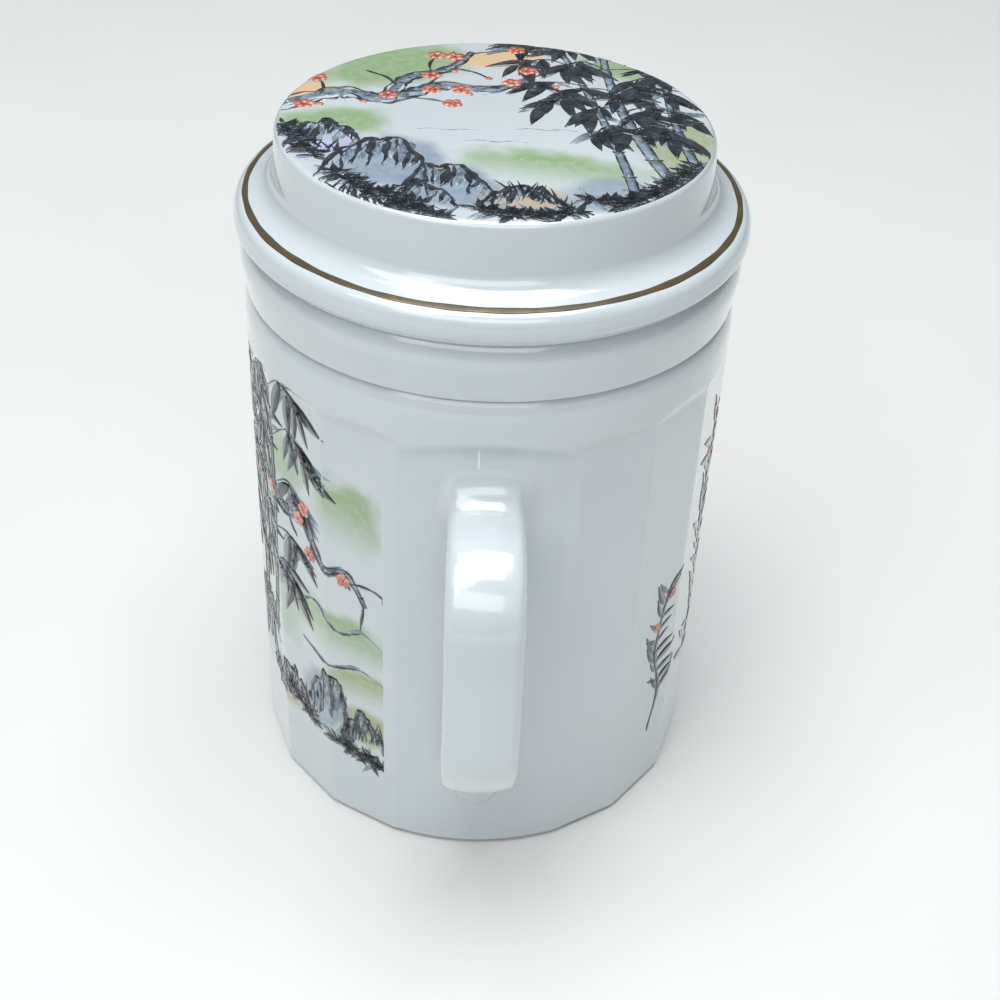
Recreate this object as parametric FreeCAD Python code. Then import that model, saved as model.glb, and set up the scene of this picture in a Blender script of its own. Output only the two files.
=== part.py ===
import FreeCAD, Part
import math
import os

# Lidded porcelain tea mug with a lift-out infuser, in millimetres.
# The mug stands on the table at z = 0, its axis is the Z axis and the handle points along +X.
# It is three loose pieces: the mug with its strap handle, the infuser whose collar sits on the
# mug's rim, and the stepped lid that sits on the collar. Each piece lifts straight up.

Vector = FreeCAD.Vector
ORIGIN = Vector(0, 0, 0)
UP = Vector(0, 0, 1)

# Mug body
rim_height = 99.1
body_radius = 41.8
body_wall = 3.4
body_floor = 4.6
bowl_round = 9.0
rim_outer_round = 2.2
rim_inner_round = 0.8

# Foot ring, with the shallow hollow inside it
foot_inset = 1.5
foot_width = 2.6
foot_lift = 1.2
foot_hollow = 1.3
foot_round = 0.4

# Facets, which fade out in soft arches below the rim
facet_count = 18
facet_drop = 10.3
facet_cove = 4.0
ridge_inset = 0.1

# Wide panel behind the handle, in place of two facets
panel_facets = 2
panel_depth = 0.35
panel_drop = 8.0
panel_arch_rise = 2.6

# Strap handle, along its middle line
handle_width = 12.4
handle_thickness = 5.4
handle_crown = 1.1
handle_edge_round = 1.5
handle_drop = 20.3
handle_shoulder_reach = 19.0
handle_knee_reach = 22.4
handle_knee_height = 41.7
handle_root_height = 18.4
handle_shoulder_bend = 11.0
handle_knee_bend = 13.0
handle_top_flare = 5.6
handle_inner_flare = 3.0

# Tongue under the lower root of the handle
tail_width = 8.4
tail_height = 10.6
tail_proud = 1.3
tail_bend = 5.0

# Infuser collar, with a web that rests on the rim
collar_overhang = 0.4
collar_height = 10.0
collar_wall = 3.4
collar_draft = 0.5
collar_web = 3.0
collar_round = 2.4
collar_foot_round = 0.5
collar_fillet = 1.2

# Infuser basket, which hangs inside the mug
seat_clearance = 0.6
basket_wall = 2.6
basket_neck_height = 5.0
basket_neck_step = 2.4
basket_shoulder = 2.2
basket_depth = 57.0
basket_taper = 1.6
basket_corner = 6.0
basket_neck_round = 1.0

# Strainer floor of the basket
strainer_border = 7.0
strainer_thickness = 2.6
hole_radius = 1.1
hole_pitch = 5.6
hole_margin = 2.5
holes_per_ring = 6

# Lid
lid_overhang = 0.6
lid_height = 17.0
lid_foot_inset = 0.8
lid_edge_low = 1.5
lid_edge_high = 4.8
lid_edge_round = 1.7
lid_wall = 3.4
ledge_width = 6.6
crown_draft = 0.6
crown_dome = 0.2
crown_round = 1.2
ledge_rise = 2.1
ledge_cove = 4.4

# Ring under the lid, which drops inside the collar
ring_clearance = 0.7
ring_wall = 2.8
ring_depth = 4.6
ring_round = 0.9

# Gilded line around the ledge
gold_inset = 2.1
gold_width = 1.2
gold_thickness = 0.15

# Heights and radii that follow from the sizes above
foot_radius = body_radius - foot_inset
body_bore = body_radius - body_wall
floor_top = foot_hollow + body_floor
collar_top = rim_height + collar_height
collar_radius = body_radius + collar_overhang
collar_bore = collar_radius - collar_wall
neck_radius = body_bore - seat_clearance
neck_bore = neck_radius - basket_wall
basket_radius = neck_radius - basket_shoulder
basket_base = rim_height - basket_depth
basket_base_radius = basket_radius - basket_taper
strainer_radius = basket_base_radius - strainer_border
hole_rings = int((strainer_radius - hole_margin) / hole_pitch)
lid_top = collar_top + lid_height
lid_radius = collar_radius + lid_overhang
lid_foot_radius = lid_radius - lid_foot_inset
crown_radius = lid_radius - ledge_width
gold_radius = lid_radius - gold_inset
ring_radius = collar_bore - ring_clearance
ring_bore = ring_radius - ring_wall
handle_top_line = rim_height - handle_drop

# A rounded corner takes at most this share of the shorter side beside it
CORNER_SHARE = 0.48
# Two points nearer than this are one point
SAME_POINT = 1e-6


def eased_edges(corners, closed=True):
    """Lines through (x, z, radius) corners in the XZ plane, each corner rounded by a tangent arc."""
    points = [Vector(x, 0, z) for x, z, radius in corners]
    count = len(points)
    stops = []
    for index in range(count):
        here = points[index]
        radius = corners[index][2]
        is_end = not closed and index in (0, count - 1)
        if radius <= 0 or is_end:
            stops.append((here, None, here))
            continue
        back = points[index - 1] - here
        ahead = points[(index + 1) % count] - here
        half_turn = back.getAngle(ahead) / 2
        longest = CORNER_SHARE * min(back.Length, ahead.Length)
        reach = min(radius / math.tan(half_turn), longest)
        eased = reach * math.tan(half_turn)
        back.normalize()
        ahead.normalize()
        middle = back + ahead
        middle.normalize()
        crest = here + middle * (eased / math.sin(half_turn) - eased)
        stops.append((here + back * reach, crest, here + ahead * reach))
    edges = []
    for index in range(count):
        start, crest, end = stops[index]
        if crest is not None:
            edges.append(Part.Arc(start, crest, end).toShape())
        if not closed and index == count - 1:
            break
        following = stops[(index + 1) % count][0]
        if (following - end).Length > SAME_POINT:
            edges.append(Part.LineSegment(end, following).toShape())
    return edges


def eased_face(corners):
    """Flat face in the XZ plane inside the rounded outline through the corners."""
    return Part.Face(Part.Wire(eased_edges(corners)))


def turned(corners):
    """Solid of revolution about the Z axis of an outline given as (radius, height, rounding)."""
    return eased_face(corners).revolve(ORIGIN, UP, 360)


def slab(corners, width):
    """Solid of an XZ outline, of the given width across Y and centred on the XZ plane."""
    face = eased_face(corners)
    face.translate(Vector(0, -width / 2, 0))
    return face.extrude(Vector(0, width, 0))


def facet_cutter():
    """Cutter of one flat facet on the +X side, curving out of the wall at its top."""
    plane = (body_radius - ridge_inset) * math.cos(math.pi / facet_count)
    fade = rim_height - facet_drop
    below = -body_wall
    cove_end = plane + facet_cove
    outside = cove_end + body_wall
    middle = math.pi / 4
    crest = Vector(cove_end - facet_cove * math.cos(middle), 0, fade + facet_cove * math.sin(middle))
    corners = [
        Vector(cove_end, 0, fade + facet_cove),
        Vector(outside, 0, fade + facet_cove),
        Vector(outside, 0, below),
        Vector(plane, 0, below),
        Vector(plane, 0, fade),
    ]
    edges = [Part.LineSegment(a, b).toShape() for a, b in zip(corners, corners[1:])]
    edges.append(Part.Arc(corners[-1], crest, corners[0]).toShape())
    face = Part.Face(Part.Wire(edges))
    width = body_radius * math.tan(math.pi / facet_count) * 2
    face.translate(Vector(0, -width / 2, 0))
    return face.extrude(Vector(0, width, 0))


def panel_cutter():
    """Cutter of the wide shallow panel behind the handle, with an arched top."""
    angle = 360 / facet_count * panel_facets
    outside = body_radius + body_wall
    inside = body_radius - panel_depth
    below = -body_wall
    wall = turned(
        [(inside, below, 0), (outside, below, 0), (outside, rim_height, 0), (inside, rim_height, 0)]
    )
    half = body_radius * math.sin(math.radians(angle / 2))
    top = rim_height - panel_drop
    left = Vector(0, -half, top - panel_arch_rise)
    right = Vector(0, half, top - panel_arch_rise)
    low_left = Vector(0, -half, below)
    low_right = Vector(0, half, below)
    edges = [
        Part.LineSegment(low_left, left).toShape(),
        Part.Arc(left, Vector(0, 0, top), right).toShape(),
        Part.LineSegment(right, low_right).toShape(),
        Part.LineSegment(low_right, low_left).toShape(),
    ]
    arch = Part.Face(Part.Wire(edges)).extrude(Vector(outside, 0, 0))
    return wall.common(arch)


def mug_blank():
    """Mug body without its bowl: foot ring, round wall, facets, panel and rounded rim."""
    blank = turned(
        [
            (0, foot_hollow, 0),
            (foot_radius - foot_width, foot_hollow, foot_round),
            (foot_radius - foot_width, 0, foot_round),
            (foot_radius, 0, foot_round),
            (body_radius, foot_lift, foot_round),
            (body_radius, rim_height, rim_outer_round),
            (0, rim_height, 0),
        ]
    )
    pitch = 360 / facet_count
    cutters = [panel_cutter()]
    for index in range(facet_count - panel_facets):
        cutter = facet_cutter()
        angle = (index + panel_facets / 2 + 0.5) * pitch
        cutter.rotate(ORIGIN, UP, angle)
        cutters.append(cutter)
    return blank.cut(cutters)


def mug_body(blank):
    """Mug body with its bowl cut out and the inner edge of the rim rounded."""
    bowl = turned(
        [
            (0, floor_top, 0),
            (body_bore, floor_top, bowl_round),
            (body_bore, rim_height - rim_inner_round, 0),
            (body_bore + rim_inner_round, rim_height, 0),
            (body_bore + rim_inner_round, rim_height + body_wall, 0),
            (0, rim_height + body_wall, 0),
        ]
    )
    return blank.cut(bowl)


def handle_path():
    """Middle line of the strap from inside the wall at the top to inside the wall at the bottom."""
    inside = body_radius - body_wall / 2
    return [
        (inside, handle_top_line, 0),
        (body_radius + handle_shoulder_reach, handle_top_line, handle_shoulder_bend),
        (body_radius + handle_knee_reach, handle_knee_height, handle_knee_bend),
        (inside, handle_root_height, 0),
    ]


def handle_strap():
    """Strap with a flat inner face and a crowned outer face, swept along its middle line."""
    spine = Part.Wire(eased_edges(handle_path(), closed=False))
    half = handle_width / 2
    inner = -handle_thickness / 2
    edge = handle_thickness / 2 - handle_crown
    crown = handle_thickness / 2
    section = [
        (-half, inner, handle_edge_round),
        (half, inner, handle_edge_round),
        (half, edge, handle_edge_round),
        (0, crown, handle_width),
        (-half, edge, handle_edge_round),
    ]
    outline = Part.Wire(eased_edges(section))
    outline.rotate(ORIGIN, UP, 90)
    start = handle_path()[0]
    outline.translate(Vector(start[0], 0, start[1]))
    return spine.makePipeShell([outline], True, False)


def root_flare(face_height, size, side):
    """Concave fillet between the wall and the strap, above the strap for side 1, below for -1."""
    inside = body_radius - body_wall / 2
    into_strap = face_height - side * handle_thickness / 2
    corners = [
        (inside, into_strap, 0),
        (body_radius + size, into_strap, 0),
        (body_radius + size, face_height, 0),
        (body_radius, face_height, size),
        (body_radius, face_height + side * size, 0),
        (inside, face_height + side * size, 0),
    ]
    return slab(corners, handle_width - 2 * handle_edge_round)


def handle_tail():
    """Tongue with a round tip, which runs from the lower root of the strap down the wall."""
    inside = body_radius - body_wall / 2
    proud = body_radius + tail_proud
    start, shoulder, knee, root = handle_path()
    slope = (knee[1] - root[1]) / (knee[0] - root[0])
    underside = handle_thickness / 2 * math.sqrt(1 + slope * slope)
    meeting = root[1] + slope * (proud - root[0]) - underside
    far = proud + tail_bend
    corners = [
        (inside, tail_height, 0),
        (proud, tail_height, tail_proud / 2),
        (proud, meeting, tail_bend),
        (far, meeting + slope * tail_bend, 0),
        (far, root[1] + slope * (far - root[0]), 0),
        (inside, root[1], 0),
    ]
    side = slab(corners, handle_width)
    half = tail_width / 2
    tip = Part.makeCylinder(half, far, Vector(0, 0, tail_height + half), Vector(1, 0, 0))
    above = knee[1] - tail_height - half
    tongue = Part.makeBox(far, tail_width, above, Vector(0, -half, tail_height + half))
    return side.common(tip.fuse(tongue))


def mug_handle(blank):
    """Strap, its fillets and its tail, trimmed to the outside of the mug."""
    upper_face = handle_top_line + handle_thickness / 2 - handle_crown
    lower_face = handle_top_line - handle_thickness / 2
    pieces = [
        root_flare(upper_face, handle_top_flare, 1),
        root_flare(lower_face, handle_inner_flare, -1),
        handle_tail(),
    ]
    return handle_strap().fuse(pieces).cut(blank).removeSplitter()


def infuser_collar():
    """Ring that shows between mug and lid, with the web that rests on the rim."""
    return turned(
        [
            (neck_bore, rim_height, 0),
            (collar_radius - collar_draft, rim_height, collar_foot_round),
            (collar_radius, collar_top, collar_round),
            (collar_bore, collar_top, collar_foot_round),
            (collar_bore, rim_height + collar_web, collar_fillet),
            (neck_bore, rim_height + collar_web, collar_fillet),
        ]
    )


def infuser_basket():
    """Wall of the basket: a neck that centres it in the mug, then a slightly tapered cup."""
    neck_base = rim_height - basket_neck_height
    step_base = neck_base - basket_neck_step
    floor = basket_base + strainer_thickness
    return turned(
        [
            (neck_bore, rim_height, 0),
            (neck_radius, rim_height, 0),
            (neck_radius, neck_base, basket_neck_round),
            (basket_radius, step_base, basket_neck_round),
            (basket_base_radius, basket_base, basket_corner),
            (strainer_radius, basket_base, 0),
            (strainer_radius, floor, 0),
            (basket_base_radius - basket_wall, floor, basket_corner - basket_wall),
            (basket_radius - basket_wall, step_base, basket_neck_round),
            (neck_bore, neck_base, basket_neck_round),
        ]
    )


def infuser_strainer():
    """Flat floor of the basket, pierced by rings of round holes about a middle hole."""
    floor = Part.makeCylinder(strainer_radius, strainer_thickness, Vector(0, 0, basket_base))
    centres = [(0, 0)]
    for ring in range(1, hole_rings + 1):
        for index in range(ring * holes_per_ring):
            angle = 2 * math.pi * index / (ring * holes_per_ring)
            distance = ring * hole_pitch
            centres.append((distance * math.cos(angle), distance * math.sin(angle)))
    drills = [
        Part.makeCylinder(hole_radius, strainer_thickness, Vector(x, y, basket_base))
        for x, y in centres
    ]
    return floor.cut(drills)


def ledge_height(radius):
    """Height of the lid's sloping ledge at a radius."""
    outer = collar_top + lid_edge_high
    slope = ledge_rise / (lid_radius - crown_radius)
    return outer + slope * (lid_radius - radius)


def lid_shell():
    """Stepped lid: flat crown, upright wall, cove, sloping ledge and rounded edge, hollow below."""
    crown_top = lid_top - crown_dome
    inner_radius = crown_radius - lid_wall
    return turned(
        [
            (0, lid_top, 0),
            (crown_radius - crown_draft, crown_top, crown_round),
            (crown_radius, ledge_height(crown_radius), ledge_cove),
            (lid_radius, ledge_height(lid_radius), lid_edge_round),
            (lid_radius, collar_top + lid_edge_low, lid_edge_low / 2),
            (lid_foot_radius, collar_top, 0),
            (ring_bore, collar_top, 0),
            (inner_radius, collar_top + lid_edge_high, lid_wall),
            (inner_radius, crown_top - lid_wall, lid_wall),
            (0, lid_top - lid_wall, 0),
        ]
    )


def lid_locating_ring():
    """Plain ring under the lid that keeps it centred in the collar."""
    return turned(
        [
            (ring_bore, collar_top, 0),
            (ring_radius, collar_top, 0),
            (ring_radius, collar_top - ring_depth, ring_round),
            (ring_bore, collar_top - ring_depth, ring_round),
        ]
    )


def lid_gold_line():
    """Thin gilded band that lies on the ledge."""
    inner = gold_radius - gold_width / 2
    outer = gold_radius + gold_width / 2
    return turned(
        [
            (inner, ledge_height(inner), 0),
            (outer, ledge_height(outer), 0),
            (outer, ledge_height(outer) + gold_thickness, 0),
            (inner, ledge_height(inner) + gold_thickness, 0),
        ]
    )


def save(name, shape):
    """Write one node and print what it is, so that a broken solid shows in the build's output."""
    shape.exportStep("parts/" + name + ".step")
    print(name, len(shape.Solids), "solid(s), valid", shape.isValid(), "volume", round(shape.Volume, 1))


os.makedirs("parts", exist_ok=True)
outside_of_mug = mug_blank()
save("mug_body", mug_body(outside_of_mug))
save("mug_handle", mug_handle(outside_of_mug))
save("infuser_collar", infuser_collar())
save("infuser_basket", infuser_basket())
save("infuser_strainer", infuser_strainer())
save("lid_shell", lid_shell())
save("lid_locating_ring", lid_locating_ring())
save("lid_gold_line", lid_gold_line())
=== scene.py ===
"""Looks of a lidded porcelain tea mug with a lift-out infuser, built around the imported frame."""

import logging
import math
import random
from dataclasses import dataclass, field
from enum import Enum
from typing import Any, Callable, Sequence

import bpy
from mathutils import Matrix, Vector
from mathutils.bvhtree import BVHTree


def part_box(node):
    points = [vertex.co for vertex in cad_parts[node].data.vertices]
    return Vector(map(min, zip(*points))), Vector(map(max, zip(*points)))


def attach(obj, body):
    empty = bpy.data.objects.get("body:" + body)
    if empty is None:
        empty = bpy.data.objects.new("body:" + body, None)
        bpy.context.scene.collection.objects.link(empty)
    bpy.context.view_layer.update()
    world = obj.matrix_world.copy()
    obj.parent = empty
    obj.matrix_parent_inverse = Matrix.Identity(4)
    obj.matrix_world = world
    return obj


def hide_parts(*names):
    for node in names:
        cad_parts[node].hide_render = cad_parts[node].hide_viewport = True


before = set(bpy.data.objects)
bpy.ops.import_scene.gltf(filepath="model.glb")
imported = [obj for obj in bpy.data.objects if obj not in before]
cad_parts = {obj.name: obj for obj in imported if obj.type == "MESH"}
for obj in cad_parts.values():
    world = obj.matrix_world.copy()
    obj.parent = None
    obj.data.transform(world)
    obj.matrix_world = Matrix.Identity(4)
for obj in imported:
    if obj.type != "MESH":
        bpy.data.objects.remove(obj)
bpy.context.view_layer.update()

LOG = logging.getLogger("tea_mug")
MM = 0.001
PAINTED_SHADE_ATTRIBUTE = "pool"
EDGE_SHARE = 0.49
ON_AXIS = 1e-6
TINY = 1e-9

Point = tuple[float, float]
Triple = tuple[float, float, float]
Colour = tuple[float, float, float, float]
Line = Sequence[Point]


class Body(str, Enum):
    """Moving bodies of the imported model."""

    MUG = "mug"
    INFUSER = "infuser"
    LID = "lid"


class Slot(str, Enum):
    """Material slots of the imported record."""

    MUG = "mug_porcelain"
    INFUSER = "infuser_porcelain"
    LID = "lid_porcelain"
    GOLD = "gilding"


def operator(operation: str, swapped: bool = False) -> Callable[..., "Term"]:
    """Make a method that adds one Math node.

    Args:
        operation: Operation of the node.
        swapped: Whether the term comes after the other value.

    Returns:
        The method.
    """
    def method(self: "Term", *others: Any) -> "Term":
        """Result of the node."""
        values = (*others, self) if swapped else (self, *others)
        return self.graph.math(operation, *values)
    return method


class Term:
    """One value in a node tree, so that node maths reads as plain arithmetic."""

    __add__ = __radd__ = operator("ADD")
    __sub__, __rsub__ = operator("SUBTRACT"), operator("SUBTRACT", swapped=True)
    __mul__ = __rmul__ = operator("MULTIPLY")
    __truediv__, __rtruediv__ = operator("DIVIDE"), operator("DIVIDE", swapped=True)
    __pow__ = operator("POWER")
    __abs__ = operator("ABSOLUTE")
    least = operator("MINIMUM")
    most = operator("MAXIMUM")
    soft_least = operator("SMOOTH_MIN")

    def __init__(self, graph: "Graph", socket: bpy.types.NodeSocket) -> None:
        """Keep the graph and the output socket that carries the value."""
        self.graph = graph
        self.socket = socket

    def rise(self, start: Any, end: Any) -> "Term":
        """Smooth step from 0 at start to 1 at end."""
        inputs = {"Value": self, "From Min": start, "From Max": end, "To Min": 0.0, "To Max": 1.0}
        node = self.graph.node("ShaderNodeMapRange", {"interpolation_type": "SMOOTHSTEP"}, inputs)
        return self.graph.term(node, "Result")


class Graph:
    """A shader or geometry node tree with one way to add any node."""

    def __init__(self, tree: bpy.types.NodeTree) -> None:
        """Keep the tree that nodes are added to."""
        self.tree = tree

    def node(self, kind: str, settings: dict[str, Any] | None = None,
             inputs: dict[Any, Any] | None = None) -> bpy.types.Node:
        """Add a node.

        Args:
            kind: Node type name.
            settings: Node properties, set before any socket.
            inputs: Values or links by socket name or number.

        Returns:
            The new node.
        """
        made = self.tree.nodes.new(kind)
        for name, value in (settings or {}).items():
            setattr(made, name, value)
        for name, value in (inputs or {}).items():
            self.feed(made.inputs[name], value)
        return made

    def feed(self, socket: bpy.types.NodeSocket, value: Any) -> None:
        """Link something into a socket, or set the socket's plain value.

        Args:
            socket: Input socket.
            value: Term, output socket, node whose first output counts, or plain value.
        """
        if isinstance(value, bpy.types.Node):
            value = value.outputs[0]
        elif isinstance(value, Term):
            value = value.socket
        if isinstance(value, bpy.types.NodeSocket):
            self.tree.links.new(value, socket)
        else:
            socket.default_value = value

    def term(self, node: bpy.types.Node, output: Any = 0) -> Term:
        """Wrap one output of a node."""
        return Term(self, node.outputs[output])

    def math(self, operation: str, *values: Any) -> Term:
        """Add a Math node with up to three values."""
        return self.term(self.node("ShaderNodeMath", {"operation": operation}, dict(enumerate(values))))

    def length(self, x: Any, y: Any) -> Term:
        """Length of a flat vector."""
        return self.math("SQRT", x * x + y * y)

    def split(self, vector: Any) -> tuple[Term, Term, Term]:
        """X, Y and Z of a vector."""
        node = self.node("ShaderNodeSeparateXYZ", inputs={0: vector})
        return self.term(node, 0), self.term(node, 1), self.term(node, 2)

    def join(self, x: Any, y: Any, z: Any) -> Term:
        """Vector from three values."""
        return self.term(self.node("ShaderNodeCombineXYZ", inputs={0: x, 1: y, 2: z}))

    def noise(self, vector: Any, scale: float, detail: float = 2.0, roughness: float = 0.5) -> Term:
        """Noise value of a point."""
        inputs = {"Vector": vector, "Scale": scale, "Detail": detail, "Roughness": roughness}
        return self.term(self.node("ShaderNodeTexNoise", inputs=inputs), "Fac")

    def mix(self, factor: Any, first: Any, second: Any) -> Term:
        """Mix of two colours."""
        inputs = {0: factor, 6: first, 7: second}
        return self.term(self.node("ShaderNodeMix", {"data_type": "RGBA"}, inputs), 2)

    def chance(self, low: float, high: float, seed: int) -> Term:
        """Random number between two bounds for each point of a geometry."""
        inputs = {2: low, 3: high, "Seed": seed}
        return self.term(self.node("FunctionNodeRandomValue", {"data_type": "FLOAT"}, inputs), 1)

    def merged(self, *parts: bpy.types.Node) -> bpy.types.Node:
        """Node that joins the geometries of several nodes."""
        joined = self.node("GeometryNodeJoinGeometry")
        for part in parts:
            self.feed(joined.inputs[0], part)
        return joined


def rgba(red: float, green: float, blue: float) -> Colour:
    """Opaque colour."""
    return red, green, blue, 1.0


@dataclass(frozen=True)
class Finish:
    """Material whose shader inputs come from its own node graph."""

    name: str

    def values(self, graph: Graph, place: Term) -> dict[str, Any]:
        """Shader inputs by name.

        Args:
            graph: Graph that gets the nodes.
            place: Point on the surface, in metres.

        Returns:
            Terms, nodes or plain values by socket name.
        """
        raise NotImplementedError

    def make(self) -> bpy.types.Material:
        """Build the material.

        Returns:
            The finished material.
        """
        material = bpy.data.materials.new(self.name)
        material.use_nodes = True
        graph = Graph(material.node_tree)
        shader = material.node_tree.nodes["Principled BSDF"]
        place = graph.term(graph.node("ShaderNodeTexCoord"), "Object")
        for socket, value in self.values(graph, place).items():
            graph.feed(shader.inputs[socket], value)
        return material


@dataclass(frozen=True)
class Porcelain(Finish):
    """White glazed porcelain, with faint specks, waviness and an unglazed foot."""

    glaze: Colour = rgba(0.61, 0.665, 0.693)
    shade: Colour = rgba(0.58, 0.637, 0.671)
    biscuit: Colour = rgba(0.46, 0.45, 0.42)
    speck: Colour = rgba(0.25, 0.2, 0.16)
    gloss: float = 0.16
    cloud_dullness: float = 0.03
    biscuit_dullness: float = 0.55
    biscuit_edge: Point = (0.36 * MM, 0.6 * MM)
    coat_blur: float = 0.09
    refraction: float = 1.5
    cloud_scale: float = 38.0
    cloud_band: Point = (0.3, 0.7)
    speck_scale: float = 95.0
    speck_size: Point = (0.02, 0.05)
    speck_share: Point = (0.93, 0.95)
    speck_strength: float = 0.5
    swell_scale: float = 64.6
    swell_depth: float = 0.06 * MM
    grain_scale: float = 900.0
    grain_depth: float = 0.08 * MM

    def paint(self, graph: Graph, place: Term, base: Term) -> Term:
        """Fired colours over the glaze. Plain porcelain has none."""
        return base

    def values(self, graph: Graph, place: Term) -> dict[str, Any]:
        """Shader inputs of the glaze and of the bare foot.

        Args:
            graph: Graph that gets the nodes.
            place: Point on the surface, in metres.

        Returns:
            Terms, nodes or plain values by socket name.
        """
        _, _, height = graph.split(place)
        cloud = graph.noise(place, self.cloud_scale, 3.0)
        base = graph.mix(cloud.rise(*self.cloud_band), self.glaze, self.shade)
        cells = graph.node("ShaderNodeTexVoronoi", inputs={"Vector": place, "Scale": self.speck_scale})
        spot = 1.0 - graph.term(cells, "Distance").rise(*self.speck_size)
        red, _, _ = graph.split(graph.term(cells, "Color"))
        base = graph.mix(spot * red.rise(*self.speck_share) * self.speck_strength, base, self.speck)
        bare = 1.0 - height.rise(*self.biscuit_edge)
        swell = graph.noise(place, self.swell_scale, 1.0) * self.swell_depth
        grain = graph.noise(place, self.grain_scale, 2.0) * bare * self.grain_depth
        bump = {"Height": swell + grain, "Distance": 1.0, "Strength": 1.0}
        return {
            "Base Color": graph.mix(bare, self.paint(graph, place, base), self.biscuit),
            "Roughness": bare * self.biscuit_dullness + self.gloss + cloud * self.cloud_dullness,
            "Coat Weight": 1.0 - bare,
            "Coat Roughness": self.coat_blur,
            "IOR": self.refraction,
            "Normal": graph.node("ShaderNodeBump", inputs=bump),
        }


@dataclass(frozen=True)
class Ink(Finish):
    """Fired picture colour under a thin glaze, darker and paler in patches."""

    deep: Colour
    pale: Colour
    patch_scale: float = 420.0
    patch_band: Point = (0.4, 0.72)
    gloss: float = 0.14
    patch_dullness: float = 0.1
    coat: float = 0.8
    coat_blur: float = 0.05

    def values(self, graph: Graph, place: Term) -> dict[str, Any]:
        """Shader inputs of the patchy colour.

        Args:
            graph: Graph that gets the nodes.
            place: Point on the surface, in metres.

        Returns:
            Terms or plain values by socket name.
        """
        patch = graph.noise(place, self.patch_scale, 3.0, 0.6)
        return {
            "Base Color": graph.mix(patch.rise(*self.patch_band), self.deep, self.pale),
            "Roughness": patch * self.patch_dullness + self.gloss,
            "Coat Weight": self.coat,
            "Coat Roughness": self.coat_blur,
        }


@dataclass(frozen=True)
class Wash:
    """Soft patch of thin colour, placed in the flat plane of its picture, in millimetres."""

    across: float
    up: float
    half_width: float
    half_height: float
    colour: Colour
    strength: float
    tilt: float
    soft: float
    fade: bool = False
    outer_soft: float = 0.25
    fade_band: Point = (-0.9, 0.7)

    def mask(self, graph: Graph, across: Term, up: Term, wobble: Term) -> Term:
        """Strength of the wash at a point.

        Args:
            graph: Graph that gets the nodes.
            across: Place across the picture, in millimetres.
            up: Place up the picture, in millimetres.
            wobble: Noise about zero that roughens the outline.

        Returns:
            Mask from 0 to the strength of the wash.
        """
        turn = math.radians(self.tilt)
        side, rise = across - self.across, up - self.up
        along = side * (math.cos(turn) / self.half_width) + rise * (math.sin(turn) / self.half_width)
        over = rise * (math.cos(turn) / self.half_height) - side * (math.sin(turn) / self.half_height)
        reach = graph.length(along, over) + wobble
        mask = 1.0 - reach.rise(1.0 - self.soft, 1.0 + self.soft * self.outer_soft)
        if self.fade:
            mask = mask * over.rise(*self.fade_band)
        return mask * self.strength


@dataclass(frozen=True)
class PaintedPorcelain(Porcelain):
    """Porcelain with soft washes of thin colour fired over the glaze."""

    washes: tuple[Wash, ...] = ()
    patch_scale: float = 0.16
    mottle_scale: float = 0.64
    mottle_band: Point = (0.1, 0.7)
    mottle_depth: float = 0.4
    ragged: float = 0.9
    unit: float = 1.0 / MM

    def plane(self, graph: Graph, spot: Term) -> tuple[Term, Term, Term]:
        """Place across and up the picture in millimetres, and the mask of the printed place."""
        raise NotImplementedError

    def paint(self, graph: Graph, place: Term, base: Term) -> Term:
        """Lay every wash over the glaze in order.

        Args:
            graph: Graph that gets the nodes.
            place: Point on the surface, in metres.
            base: Colour of the glaze.

        Returns:
            Colour of the painted glaze.
        """
        across, up, printed = self.plane(graph, place)
        flat = graph.join(across, up, 0.0)
        wobble = (graph.noise(flat, self.patch_scale, 3.0, 0.55) - 0.5) * self.ragged
        mottle = graph.noise(flat, self.mottle_scale, 4.0, 0.6).rise(*self.mottle_band)
        cover = (mottle * self.mottle_depth + (1.0 - self.mottle_depth)) * printed
        for wash in self.washes:
            base = graph.mix(wash.mask(graph, across, up, wobble) * cover, base, wash.colour)
        return base


@dataclass(frozen=True)
class CrownPorcelain(PaintedPorcelain):
    """Porcelain of the lid, with a round picture on the crown."""

    picture_edge: Point = (35.02, 35.18)
    crown_start: Point = (121.0, 122.0)

    def plane(self, graph: Graph, spot: Term) -> tuple[Term, Term, Term]:
        """Seen from the handle: to the right is across, away is up."""
        x, y, z = graph.split(spot)
        across, up = y * self.unit, x * (-self.unit)
        inside = 1.0 - graph.length(across, up).rise(*self.picture_edge)
        return across, up, inside * (z * self.unit).rise(*self.crown_start)


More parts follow.
